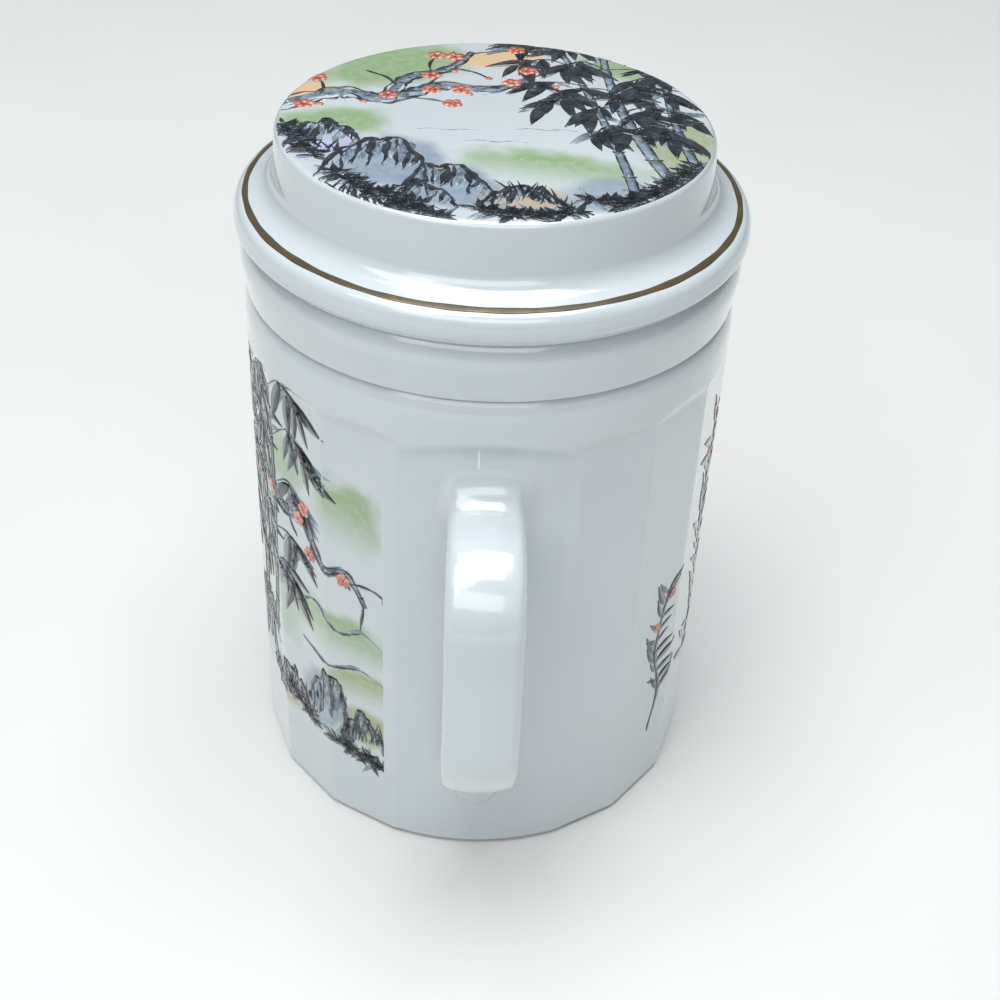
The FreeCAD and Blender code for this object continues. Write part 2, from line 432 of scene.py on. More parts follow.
@dataclass(frozen=True)
class WallPorcelain(PaintedPorcelain):
    """Porcelain of the mug, with a picture that wraps round its side from a sharp edge, painted shade under
    the arches and a painted highlight on the mould seam.
    """

    radius: float = 41.8
    picture_edge: Point = (-17.6, -17.4)
    picture_end: Point = (-121.0, -107.0)
    picture_skin: Point = (39.6, 39.9)
    # Painted shade under the arches and at the top of the panel: its colour and strength.
    painted_shade_colour: Colour = rgba(0.42, 0.49, 0.52)
    pool_strength: float = 0.55
    # Painted highlight: a lighter glaze line along the mould seam above the handle, where its raised ridge
    # would catch the light.
    seam: float = -1.5
    seam_width: Point = (0.04, 0.22)
    seam_start: Point = (82.0, 86.0)
    seam_end: Point = (89.5, 91.0)
    seam_highlight_strength: float = 0.85
    seam_highlight: Colour = rgba(0.88, 0.92, 0.95)

    def unrolled(self, graph: Graph, spot: Term) -> tuple[Term, Term, Term]:
        """Place round the body, height, and distance from the axis, in millimetres."""
        x, y, z = graph.split(spot)
        return graph.math("ARCTAN2", y, x) * self.radius, z * self.unit, graph.length(x, y) * self.unit

    def paint(self, graph: Graph, place: Term, base: Term) -> Term:
        """Paint shade into the glaze under the arches and at the top of the panel, and a lighter line as
        the highlight on the mould seam, then lay the washes.

        Args:
            graph: Graph that gets the nodes.
            place: Point on the surface, in metres.
            base: Colour of the glaze.

        Returns:
            Colour of the painted glaze.
        """
        # Painted shade from the body's relief: darker glaze under the arches and at the top of the panel.
        pool = graph.term(graph.node("ShaderNodeAttribute", {"attribute_name": PAINTED_SHADE_ATTRIBUTE}), "Fac")
        base = graph.mix(pool * self.pool_strength, base, self.painted_shade_colour)
        across, height, _ = self.unrolled(graph, place)
        # Painted highlight on the mould seam: a thin lighter line over a short height.
        line = 1.0 - abs(across - self.seam).rise(*self.seam_width)
        line = line * height.rise(*self.seam_start) * (1.0 - height.rise(*self.seam_end))
        base = graph.mix(line * self.seam_highlight_strength, base, self.seam_highlight)
        return super().paint(graph, place, base)

    def plane(self, graph: Graph, spot: Term) -> tuple[Term, Term, Term]:
        """Unrolled wall: round the body is across, height is up."""
        across, up, reach = self.unrolled(graph, spot)
        inside = (1.0 - across.rise(*self.picture_edge)) * across.rise(*self.picture_end)
        return across, up, inside * reach.rise(*self.picture_skin)


@dataclass(frozen=True)
class Gilding(Finish):
    """Brown gold lustre, worn thin in places."""

    bright: Colour = rgba(0.145, 0.110, 0.060)
    dark: Colour = rgba(0.085, 0.066, 0.038)
    wear_scale: float = 260.0
    colour_band: Point = (0.35, 0.65)
    metal_band: Point = (0.3, 0.6)
    least_metal: float = 0.1
    dullness: float = 0.42
    spread: float = 0.25

    def values(self, graph: Graph, place: Term) -> dict[str, Any]:
        """Shader inputs of the worn lustre.

        Args:
            graph: Graph that gets the nodes.
            place: Point on the surface, in metres.

        Returns:
            Terms by socket name.
        """
        wear = graph.noise(place, self.wear_scale, 4.0, 0.6)
        return {
            "Base Color": graph.mix(wear.rise(*self.colour_band), self.dark, self.bright),
            "Metallic": wear.rise(*self.metal_band) * self.spread + self.least_metal,
            "Roughness": self.dullness - wear * self.spread,
        }


@dataclass(frozen=True)
class FloorPaint(Finish):
    """Even pale floor with a faint mottling."""

    pale: Colour = rgba(0.765, 0.77, 0.757)
    dark: Colour = rgba(0.7344, 0.7392, 0.72672)
    mottle_scale: float = 14.0
    dullness: float = 0.5
    mottle_dullness: float = 0.1

    def values(self, graph: Graph, place: Term) -> dict[str, Any]:
        """Shader inputs of the mottled paint."""
        mottle = graph.noise(place, self.mottle_scale, 4.0)
        return {"Base Color": graph.mix(mottle, self.dark, self.pale),
                "Roughness": mottle * self.mottle_dullness + self.dullness}


def polar(angle: float, reach: float, middle: Point = (0.0, 0.0)) -> Point:
    """Point at an angle and a distance from a middle."""
    return middle[0] + reach * math.cos(angle), middle[1] + reach * math.sin(angle)


def heading(azimuth: float, elevation: float) -> Vector:
    """Unit vector in a direction round the Z axis and above the floor, in radians."""
    return Vector((*polar(azimuth, math.cos(elevation)), math.sin(elevation)))


def eased(corners: Sequence[Triple], closed: bool = False, step: float = 2.0 * MM,
          turn: float = math.radians(9.0)) -> list[Point]:
    """Points along lines through corners, each corner rounded by an arc.

    Args:
        corners: Corners as (across, up, radius).
        closed: Whether the outline returns to its start.
        step: Longest straight piece between two points.
        turn: Largest angle between two points of an arc.

    Returns:
        The points in order.
    """
    stops: list[list[Vector]] = []
    count = len(corners)
    for index, (across, up, radius) in enumerate(corners):
        here = Vector((across, up))
        if radius <= 0 or (not closed and index in (0, count - 1)):
            stops.append([here])
            continue
        back = Vector(corners[index - 1][:2]) - here
        ahead = Vector(corners[(index + 1) % count][:2]) - here
        half = back.angle(ahead) / 2
        reach = min(radius / math.tan(half), EDGE_SHARE * min(back.length, ahead.length))
        size = reach * math.tan(half)
        back.normalize()
        ahead.normalize()
        centre = here + (back + ahead).normalized() * (size / math.sin(half))
        first = here + back * reach - centre
        sweep = first.angle_signed(here + ahead * reach - centre)
        pieces = max(2, math.ceil(abs(sweep) / turn))
        stops.append([centre + Matrix.Rotation(-sweep * piece / pieces, 2) @ first
                      for piece in range(pieces + 1)])
    points: list[Point] = []
    for index, arc in enumerate(stops):
        points.extend((p.x, p.y) for p in arc)
        if not closed and index == count - 1:
            break
        start = arc[-1]
        end = stops[(index + 1) % count][0]
        pieces = math.ceil((end - start).length / step)
        for piece in range(1, pieces):
            between = start.lerp(end, piece / pieces)
            points.append((between.x, between.y))
    return points


def swept(start: Point, corner: Point, end: Point, pieces: int = 12) -> list[Triple]:
    """Corners along the elliptical arc that eases one corner of an outline.

    Args:
        start: Point on the line that runs into the corner.
        corner: Point where the two lines would meet.
        end: Point on the line that leaves the corner.
        pieces: Number of straight pieces in the arc.

    Returns:
        The corners in order, each without a rounding of its own.
    """
    first, middle, last = Vector(start), Vector(corner), Vector(end)
    weight = math.cos((middle - first).angle(last - middle) / 2)
    corners: list[Triple] = []
    for piece in range(pieces + 1):
        share = piece / pieces
        pulls = ((1 - share) ** 2, 2 * weight * share * (1 - share), share ** 2)
        spot = (first * pulls[0] + middle * pulls[1] + last * pulls[2]) / sum(pulls)
        corners.append((spot.x, spot.y, 0.0))
    return corners


def mesh_object(name: str, points: Sequence[Sequence[float]], faces: Sequence[Sequence[int]],
                material: bpy.types.Material) -> bpy.types.Object:
    """Make a smooth shaded mesh object at the origin.

    Args:
        name: Name of the piece.
        points: Corner points in metres.
        faces: Faces as point numbers.
        material: Finish of every face.

    Returns:
        The linked object.
    """
    mesh = bpy.data.meshes.new(name)
    mesh.from_pydata([tuple(p) for p in points], [], [tuple(f) for f in faces])
    mesh.update()
    mesh.shade_smooth()
    mesh.materials.append(material)
    made = bpy.data.objects.new(name, mesh)
    bpy.context.scene.collection.objects.link(made)
    return made


def skin(rings: Sequence[Sequence[int]], closed: bool = False) -> list[list[int]]:
    """Faces between neighbouring rings of points.

    Args:
        rings: Point numbers of each ring, all of the same length.
        closed: Whether the last ring is joined to the first.

    Returns:
        Faces of four points, or of three where a ring is a single point.
    """
    faces = []
    following_rings = [*rings[1:], rings[0]] if closed else rings[1:]
    for lower, upper in zip(rings, following_rings):
        for index, here in enumerate(lower):
            following = (index + 1) % len(lower)
            face = list(dict.fromkeys([here, lower[following], upper[following], upper[index]]))
            if len(face) > 2:
                faces.append(face)
    return faces


def rows(count: int, across: int) -> list[list[int]]:
    """Point numbers of a number of rings that follow each other."""
    return [list(range(row * across, (row + 1) * across)) for row in range(count)]


def turned(name: str, outline: Sequence[Point], material: bpy.types.Material,
           segments: int) -> bpy.types.Object:
    """Turn a closed outline about the Z axis into a solid.

    Args:
        name: Name of the piece.
        outline: Closed outline as (radius, height), anticlockwise with the radius to the right.
        material: Finish.
        segments: Steps round the axis.

    Returns:
        The solid, with faces pointing outwards.
    """
    points: list[Triple] = []
    rings: list[list[int]] = []
    for radius, height in outline:
        start = len(points)
        if radius < ON_AXIS:
            points.append((0.0, 0.0, height))
            rings.append([start] * segments)
            continue
        points.extend((*polar(math.tau * index / segments, radius), height) for index in range(segments))
        rings.append(list(range(start, start + segments)))
    return mesh_object(name, points, skin(rings, closed=True), material)


def settled(piece: bpy.types.Object) -> bpy.types.Object:
    """Replace a piece's modifiers by the plain mesh that they give.

    Args:
        piece: Object with its modifiers.

    Returns:
        The same object with its new mesh.
    """
    depsgraph = bpy.context.evaluated_depsgraph_get()
    bpy.context.view_layer.update()
    mesh = bpy.data.meshes.new_from_object(piece.evaluated_get(depsgraph), depsgraph=depsgraph)
    piece.modifiers.clear()
    piece.data = mesh
    mesh.name = piece.name
    mesh.shade_smooth()
    return piece


class GeometryTree:
    """A Geometry Nodes tree with named inputs, ending in Realize Instances and Set Material."""

    def __init__(self, name: str, inputs: dict[str, float]) -> None:
        """Start the tree.

        Args:
            name: Name of the tree.
            inputs: Named number inputs with their values.
        """
        self.tree = bpy.data.node_groups.new(name, "GeometryNodeTree")
        self.graph = Graph(self.tree)
        self.values = dict(inputs)
        faces = self.tree.interface
        faces.new_socket("Geometry", in_out="INPUT", socket_type="NodeSocketGeometry")
        for label in inputs:
            faces.new_socket(label, in_out="INPUT", socket_type="NodeSocketFloat")
        faces.new_socket("Material", in_out="INPUT", socket_type="NodeSocketMaterial")
        faces.new_socket("Geometry", in_out="OUTPUT", socket_type="NodeSocketGeometry")
        self.entry = self.tree.nodes.new("NodeGroupInput")
        self.exit = self.tree.nodes.new("NodeGroupOutput")

    def value(self, label: str) -> Term:
        """One of the tree's named inputs."""
        return Term(self.graph, self.entry.outputs[label])

    def end(self, geometry: bpy.types.Node) -> None:
        """Finish the tree with its realized geometry and its material."""
        realized = self.graph.node("GeometryNodeRealizeInstances", inputs={"Geometry": geometry})
        inputs = {"Geometry": realized, "Material": self.entry.outputs["Material"]}
        dressed = self.graph.node("GeometryNodeSetMaterial", inputs=inputs)
        self.graph.feed(self.exit.inputs["Geometry"], dressed)

    def apply(self, piece: bpy.types.Object, material: bpy.types.Material) -> bpy.types.Object:
        """Run the tree on a piece and keep the plain mesh.

        Args:
            piece: Object whose mesh goes in.
            material: Finish that the tree sets.

        Returns:
            The same object with its new mesh.
        """
        modifier = piece.modifiers.new(self.tree.name, "NODES")
        modifier.node_group = self.tree
        for item in self.tree.interface.items_tree:
            if item.in_out == "INPUT" and item.name in self.values:
                modifier[item.identifier] = float(self.values[item.name])
            elif item.in_out == "INPUT" and item.name == "Material":
                modifier[item.identifier] = material
        return settled(piece)


def place(piece: bpy.types.Object, body: Body, slot: Slot, *nodes: str) -> bpy.types.Object:
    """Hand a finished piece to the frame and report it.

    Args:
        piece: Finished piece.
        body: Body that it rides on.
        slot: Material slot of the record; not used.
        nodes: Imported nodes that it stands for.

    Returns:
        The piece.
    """
    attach(piece, body.value)
    if nodes:
        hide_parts(*nodes)
    LOG.info("%s rides on %s with %d faces", piece.name, body.value, len(piece.data.polygons))
    return piece


@dataclass
class MugBody:
    """Mug body: foot, faceted wall with arched tops, wide panel, rounded rim and bowl."""

    glaze: bpy.types.Material
    radius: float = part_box("mug_body")[1].y
    rim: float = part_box("mug_body")[1].z
    wall: float = 3.4 * MM
    floor: float = 4.6 * MM
    bowl_round: float = 9.0 * MM
    rim_drop: float = 4.2 * MM
    rim_reach: float = 2.2 * MM
    rim_inner_round: float = 0.8 * MM
    foot_inset: float = 1.5 * MM
    foot_width: float = 2.6 * MM
    foot_lift: float = 1.2 * MM
    foot_hollow: float = 1.3 * MM
    foot_round: float = 0.45 * MM
    facets: float = 18.0
    facet_drop: float = 10.3 * MM
    facet_cove: float = 4.2 * MM
    ridge_inset: float = 0.08 * MM
    ridge_ease: float = 0.22 * MM
    panel_depth: float = 0.35 * MM
    panel_drop: float = 8.0 * MM
    panel_rise: float = 2.6 * MM
    panel_ease: float = 1.7 * MM
    fine_below: float = 2.0 * MM
    fine_above: float = 1.5 * MM
    fine_step: float = 0.3 * MM
    step: float = 2.4 * MM
    # Where the painted shade under the arches and at the top of the panel starts, how it grows and how it
    # fades.
    arch_shade_start: Point = (-0.01 * MM, 0.06 * MM)
    arch_shade_power: float = 0.6
    panel_shade_start: Point = (-0.9 * MM, 0.7 * MM)
    panel_shade_end: Point = (0.5 * MM, 3.4 * MM)
    panel_shade_fade: float = 0.8
    segments: int = 360

    @property
    def bore(self) -> float:
        """Inside radius of the bowl."""
        return self.radius - self.wall

    @property
    def panel_radius(self) -> float:
        """Radius of the panel that the handle stands on."""
        return self.radius - self.panel_depth

    def outline(self) -> list[Point]:
        """Closed outline of the round blank.

        Returns:
            Points from the middle of the foot to the middle of the bowl.
        """
        foot = self.radius - self.foot_inset
        floor = self.foot_hollow + self.floor
        facet_start = self.rim - self.facet_drop - self.fine_below
        facet_end = self.rim - self.panel_drop + self.fine_above
        below = eased([
            (0.0, self.foot_hollow, 0.0),
            (foot - self.foot_width, self.foot_hollow, self.foot_round),
            (foot - self.foot_width, 0.0, self.foot_round),
            (foot, 0.0, self.foot_round),
            (self.radius, self.foot_lift, self.foot_round),
            (self.radius, facet_start, 0.0),
        ], step=self.step)
        arches = eased([(self.radius, facet_start, 0.0), (self.radius, facet_end, 0.0)],
                       step=self.fine_step)
        above = eased([
            (self.radius, facet_end, 0.0),
            *swept((self.radius, self.rim - self.rim_drop), (self.radius, self.rim),
                   (self.radius - self.rim_reach, self.rim)),
            (self.bore, self.rim, self.rim_inner_round),
            (self.bore, floor, self.bowl_round),
            (0.0, floor, 0.0),
        ], step=self.step)
        return below[:-1] + arches[:-1] + above

    def relief_tree(self) -> GeometryTree:
        """Tree that presses the facets and the panel into the round blank, and stores the painted shade
        under their tops.

        Returns:
            The finished tree.
        """
        made = GeometryTree("facet_relief", {
            "Facet count": self.facets,
            "Body radius": self.radius,
            "Ridge inset": self.ridge_inset,
            "Fade height": self.rim - self.facet_drop,
            "Cove radius": self.facet_cove,
            "Panel depth": self.panel_depth,
            "Panel top": self.rim - self.panel_drop,
            "Panel rise": self.panel_rise,
            "Panel ease": self.panel_ease,
        })
        graph = made.graph
        x, y, z = graph.split(graph.node("GeometryNodeInputPosition"))
        radius = graph.length(x, y)
        angle = graph.math("ARCTAN2", y, x)
        pitch = math.tau / made.value("Facet count")
        body = made.value("Body radius")
        across = (graph.math("FRACT", angle / pitch) - 0.5) * pitch
        plane = (body - made.value("Ridge inset")) * graph.math("COSINE", pitch * 0.5)
        cove = made.value("Cove radius")
        climb = (z - made.value("Fade height")).most(0.0).least(cove)
        lift = cove - graph.math("SQRT", cove * cove - climb * climb)
        facet = (plane + lift) / graph.math("COSINE", across)
        half = body * graph.math("SINE", pitch)
        share = (y / half).least(1.0).most(-1.0)
        arch = made.value("Panel top") - made.value("Panel rise") * share * share
        ease = made.value("Panel ease")
        depth = arch - z
        inside = depth.rise(ease * -0.5, ease)
        panel = body - made.value("Panel depth") * inside
        within = ((pitch - abs(angle)) * body).rise(ease * -0.4, ease * 0.4)
        wanted = facet + (panel - facet) * within
        pressed = radius.soft_least(wanted, self.ridge_ease)
        # Painted shade: darker glaze under each arch and along the top of the panel, stored on the points
        # for the mug's material.
        below = (radius - facet).rise(*self.arch_shade_start)
        arch_shade = (lift / (radius - plane)).least(1.0) ** self.arch_shade_power
        arch_shade = arch_shade * below * (1.0 - within)
        centred = 1.0 - share * share * self.panel_shade_fade
        panel_shade = depth.rise(*self.panel_shade_start) * (1.0 - depth.rise(*self.panel_shade_end))
        pool = (arch_shade + panel_shade * within * centred).least(1.0)
        share_out = pressed / radius.most(ON_AXIS)
        moved = graph.join(x * share_out, y * share_out, z)
        noted = graph.node("GeometryNodeStoreNamedAttribute", {"data_type": "FLOAT", "domain": "POINT"},
                           {"Geometry": made.entry.outputs["Geometry"], "Name": PAINTED_SHADE_ATTRIBUTE, "Value": pool})
        inputs = {"Geometry": noted, "Position": moved}
        made.end(graph.node("GeometryNodeSetPosition", inputs=inputs))
        return made

    def build(self) -> bpy.types.Object:
        """Make the body and hand it to the frame.

        Returns:
            The finished piece.
        """
        blank = turned("mug_body_glazed", self.outline(), self.glaze, self.segments)
        body = self.relief_tree().apply(blank, self.glaze)
        return place(body, Body.MUG, Slot.MUG, "mug_body")


@dataclass
class MugHandle:
    """Flat strap handle with flared roots and a small tail on the wall below it."""

    body: MugBody
    glaze: bpy.types.Material
    width: float = 12.4 * MM
    thickness: float = 5.4 * MM
    crown: float = 1.1 * MM
    edge_round: float = 1.9 * MM
    drop: float = 20.3 * MM
    shoulder_reach: float = 19.0 * MM
    knee_reach: float = 22.4 * MM
    knee_height: float = 41.7 * MM
    root_height: float = 18.4 * MM
    shoulder_bend: float = 11.0 * MM
    knee_bend: float = 13.0 * MM
    upper_flare: float = 6.2 * MM
    under_flare: float = 3.0 * MM
    side_flare: float = 2.2 * MM
    lower_side_flare: float = 0.7 * MM
    lower_top_flare: float = 3.72 * MM
    lower_flare: float = 2.0 * MM
    tail_height: float = 9.3 * MM
    tail_width: float = 9.4 * MM
    tail_lip: float = 1.3 * MM
    tail_reach: float = 4.0 * MM
    tail_curl: float = 0.25
    root_blend: float = 9.0 * MM
    root_hold: float = 2.5 * MM
    sunk: float = 0.5 * MM
    sunk_spread: float = 0.4 * MM
    sunk_turn: float = 0.1 * MM
    line_step: float = 0.8 * MM
    line_gap: float = 0.3 * MM
    root_growth: float = 0.45
    root_steps: tuple[float, ...] = (-0.03 * MM, 0.0, 0.015 * MM, 0.06 * MM, 0.14 * MM)

    @property
    def inside(self) -> float:
        """Distance from the axis to the middle of the wall, where the strap's line starts."""
        return self.body.radius - self.body.wall / 2

    @property
    def top(self) -> float:
        """Height of the upper root."""
        return self.body.rim - self.drop

    def middle_line(self) -> list[Point]:
        """Middle line of the strap, from the upper to the lower root.

        Returns:
            Points in the XZ plane.
        """
        return eased([
            (self.inside, self.top, 0.0),
            (self.body.radius + self.shoulder_reach, self.top, self.shoulder_bend),
            (self.body.radius + self.knee_reach, self.knee_height, self.knee_bend),
            (self.inside, self.root_height, 0.0),
        ], step=self.line_step, turn=math.radians(5.0))

    def section(self) -> list[tuple[Point, Point]]:
        """Section of the strap.

        Returns:
            Points and their outward directions, both as (across, out).
        """
        half = self.width / 2
        edge = self.thickness / 2 - self.crown
        ring = eased([
            (-half, -self.thickness / 2, self.edge_round),
            (half, -self.thickness / 2, self.edge_round),
            (half, edge, self.edge_round),
            (0.0, self.thickness / 2, self.width),
            (-half, edge, self.edge_round),
        ], closed=True, step=0.9 * MM, turn=math.radians(14.0))
        placed = []
        for index, here in enumerate(ring):
            before, after = ring[index - 1], ring[(index + 1) % len(ring)]
            along = Vector((after[0] - before[0], after[1] - before[1])).normalized()
            placed.append((here, (along.y, -along.x)))
        return placed

    def fillet(self, distance: float, size: float) -> float:
        """How far a quarter round of the given size stands out at a distance from the wall."""
        if distance < 0:
            return size + (self.sunk_spread if distance > -self.sunk_turn else -self.sunk_spread)
        gap = max(0.0, size - distance)
        return size - math.sqrt(max(0.0, size * size - gap * gap))

    def tail_drop(self, across: float, distance: float, length: float) -> float:
        """How far the tail pulls a point of the underside down the wall.

        Args:
            across: Place across the strap.
            distance: Distance from the wall.
            length: Full length of the tail.

        Returns:
            The drop, which is zero beside the tail.
        """
        share = 1.0 - (2 * across / self.tail_width) ** 2
        if share <= 0:
            return 0.0
        reach = length * math.sqrt(share)
        if distance < self.tail_lip:
            return reach * (1.0 - self.tail_curl * (max(0.0, distance) / self.tail_lip) ** 2)
        fade = max(0.0, 1.0 - (distance - self.tail_lip) / self.tail_reach)
        return (1.0 - self.tail_curl) * reach * fade * fade

    def rings(self) -> list[list[Vector]]:
        """Rings of points from the upper root to the lower root.

        Returns:
            One list of points per ring, all of the same length.
        """
        wall = self.body.panel_radius
        line = [p for p in self.middle_line() if p[0] > wall + self.root_blend]
        slope = (self.knee_height - self.root_height) / (self.knee_reach + self.body.wall / 2)
        near = [-self.sunk, *self.root_steps]
        while near[-1] < self.root_blend:
            near.append(near[-1] + min(self.line_step, near[-1] * self.root_growth))
        upper = [(wall + d, self.top) for d in near if wall + d < line[0][0] - self.line_gap]
        lower = [(wall + d, self.root_height + slope * (wall + d - self.inside))
                 for d in reversed(near) if wall + d < line[-1][0] - self.line_gap]
        path = upper + line + lower
        section = self.section()
        rings = []
        for index, here in enumerate(path):
            before, after = path[max(0, index - 1)], path[min(len(path) - 1, index + 1)]
            along = Vector((after[0] - before[0], 0.0, after[1] - before[1])).normalized()
            rings.append(self.ring(here, along, index > len(path) / 2, section))
        return rings

    def ring(self, here: Point, along: Vector, is_lower: bool,
             section: Sequence[tuple[Point, Point]]) -> list[Vector]:
        """One ring of the strap, slid and spread where it meets the wall.

        Args:
            here: Point on the middle line.
            along: Direction of the middle line.
            is_lower: Whether the ring belongs to the lower root.
            section: Section points with their outward directions.

        Returns:
            The ring's points.
        """
        wall = self.body.panel_radius
        distance = here[0] - wall
        centre, out = Vector((here[0], 0.0, here[1])), Vector((-along.z, 0.0, along.x))
        hold = (distance - self.root_hold) / (self.root_blend - self.root_hold)
        weight = 1.0 - min(1.0, max(0.0, hold))
        weight = weight * weight * (3 - 2 * weight)
        underside = self.thickness / 2 * math.sqrt(1 + (along.z / along.x) ** 2) if is_lower else 0.0
        tail_length = self.root_height - underside - self.tail_height
        side_flare = self.lower_side_flare if is_lower else self.side_flare
        points = []
        for (across, outward), (lean_across, lean_out) in section:
            is_outer = lean_out > 0
            side = across + lean_across * self.fillet(distance, side_flare)
            point = centre + Vector((0.0, side, 0.0)) + out * outward
            if distance < self.root_blend:
                wanted = math.sqrt((wall + distance) ** 2 - side * side)
                point += along * ((wanted - point.x) / along.x * weight)
            if is_lower:
                spread = self.fillet(distance, self.lower_flare if is_outer else self.lower_top_flare)
                spread *= abs(lean_out)
                if is_outer:
                    spread = max(spread, lean_out * self.tail_drop(across, distance, tail_length))
                point.z += -spread if is_outer else spread
            else:
                size = self.upper_flare if is_outer else self.under_flare
                point += out * (lean_out * self.fillet(distance, size))
            points.append(point)
        return points

    def build(self) -> None:
        """Make the handle and hand it to the frame."""
        rings = self.rings()
        numbers = rows(len(rings), len(rings[0]))
        faces = [numbers[0], numbers[-1][::-1], *skin(numbers[::-1])]
        strap = mesh_object("mug_handle_glazed", [p for ring in rings for p in ring], faces, self.glaze)
        place(strap, Body.MUG, Slot.MUG, "mug_handle")


@dataclass
class Infuser:
    """Lift-out infuser: collar, basket wall and pierced strainer floor."""

    body: MugBody
    glaze: bpy.types.Material
    collar_radius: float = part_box("infuser_collar")[1].y
    collar_top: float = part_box("infuser_collar")[1].z
    base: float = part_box("infuser_basket")[0].z
    strainer_radius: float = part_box("infuser_strainer")[1].y
    collar_wall: float = 3.4 * MM
    collar_draft: float = 0.8 * MM
    collar_web: float = 3.0 * MM
    collar_drop: float = 4.2 * MM
    collar_reach: float = 2.2 * MM
    collar_lip: float = 0.6 * MM
    collar_fillet: float = 1.2 * MM
    collar_foot_round: float = 0.35 * MM
    seat_clearance: float = 0.6 * MM
    wall: float = 2.6 * MM
    neck_height: float = 5.0 * MM
    neck_step: float = 2.4 * MM
    shoulder: float = 2.2 * MM
    taper: float = 1.6 * MM
    corner: float = 6.0 * MM
    neck_round: float = 1.0 * MM
    strainer_thickness: float = 2.6 * MM
    hole_radius: float = 1.1 * MM
    hole_pitch: float = 5.6 * MM
    holes_per_ring: float = 6.0
    hole_rings: int = 4
    hole_corners: int = 20
    weld: float = 0.01 * MM
    collar_segments: int = 256
    segments: int = 160

    @property
    def neck(self) -> float:
        """Outside radius of the neck that centres the basket in the mug."""
        return self.body.bore - self.seat_clearance

    def collar(self) -> None:
        """Ring that shows between the mug and the lid."""
        seat = self.body.rim
        bore = self.neck - self.wall
        inner = self.collar_radius - self.collar_wall
        outline = eased([
            (bore, seat, 0.0),
            (self.collar_radius - self.collar_draft, seat, self.collar_foot_round),
            *swept((self.collar_radius, self.collar_top - self.collar_drop),
                   (self.collar_radius, self.collar_top),
                   (self.collar_radius - self.collar_reach, self.collar_top)),
            (inner, self.collar_top, self.collar_lip),
            (inner, seat + self.collar_web, self.collar_fillet),
            (bore, seat + self.collar_web, self.collar_fillet),
        ], closed=True, step=1.2 * MM)
        ring = turned("infuser_collar_glazed", outline, self.glaze, self.collar_segments)
        place(ring, Body.INFUSER, Slot.INFUSER, "infuser_collar")

    def basket(self) -> None:
        """Wall of the basket, from the neck that centres it down to the strainer's seat."""
        seat = self.body.rim
        neck_base = seat - self.neck_height
        step_base = neck_base - self.neck_step
        radius = self.neck - self.shoulder
        low = radius - self.taper
        floor = self.base + self.strainer_thickness
        outline = eased([
            (self.neck - self.wall, seat, 0.0),
            (self.neck - self.wall, neck_base, self.neck_round),
            (radius - self.wall, step_base, self.neck_round),
            (low - self.wall, floor, self.corner - self.wall),
            (self.strainer_radius, floor, 0.0),
            (self.strainer_radius, self.base, 0.0),
            (low, self.base, self.corner),
            (radius, step_base, self.neck_round),
            (self.neck, neck_base, self.neck_round),
            (self.neck, seat, 0.0),
        ], closed=True, step=2.5 * MM)
        cup = turned("infuser_basket_glazed", outline, self.glaze, self.segments)
        place(cup, Body.INFUSER, Slot.INFUSER, "infuser_basket")

    def strainer_tree(self) -> GeometryTree:
        """Tree that draws rings of holes in a disc and gives it its thickness.

        Returns:
            The finished tree.
        """
        made = GeometryTree("strainer_holes", {
            "Disc radius": self.strainer_radius,
            "Disc height": self.base,
            "Thickness": self.strainer_thickness,
            "Hole radius": self.hole_radius,
            "Hole pitch": self.hole_pitch,
            "Holes per ring": self.holes_per_ring,
        })
        graph = made.graph
        rim, hole = (graph.node("GeometryNodeCurvePrimitiveCircle", {"mode": "RADIUS"},
                                {"Resolution": corners, "Radius": made.value(label)})
                     for corners, label in ((self.segments, "Disc radius"),
                                            (self.hole_corners, "Hole radius")))
        loops = [rim, hole]
        for ring in range(1, self.hole_rings + 1):
            circle = graph.node("GeometryNodeMeshCircle", {"fill_type": "NONE"},
                                {"Vertices": made.value("Holes per ring") * float(ring),
                                 "Radius": made.value("Hole pitch") * float(ring)})
            loops.append(graph.node("GeometryNodeInstanceOnPoints",
                                    inputs={"Points": circle, "Instance": hole}))
        curves = graph.node("GeometryNodeRealizeInstances", inputs={"Geometry": graph.merged(*loops)})
        disc = graph.node("GeometryNodeFillCurve", inputs={"Curve": curves})
        inputs = {"Mesh": disc, "Offset Scale": made.value("Thickness"), "Individual": False}
        thick = graph.node("GeometryNodeExtrudeMesh", {"mode": "FACES"}, inputs)
        both = graph.merged(thick, graph.node("GeometryNodeFlipFaces", inputs={"Mesh": disc}))
        welded = graph.node("GeometryNodeMergeByDistance", inputs={"Geometry": both, "Distance": self.weld})
        lift = graph.join(0.0, 0.0, made.value("Disc height"))
        made.end(graph.node("GeometryNodeTransform", inputs={"Geometry": welded, "Translation": lift}))
        return made

    def strainer(self) -> None:
        """Pierced floor of the basket."""
        seed = mesh_object("infuser_strainer_glazed", [(0.0, 0.0, 0.0)], [], self.glaze)
        plate = self.strainer_tree().apply(seed, self.glaze)
        for face in plate.data.polygons:
            face.use_smooth = abs(face.normal.z) < 0.5
        place(plate, Body.INFUSER, Slot.INFUSER, "infuser_strainer")

    def build(self) -> None:
        """Make the three pieces of the infuser."""
        self.collar()
        self.basket()
        self.strainer()


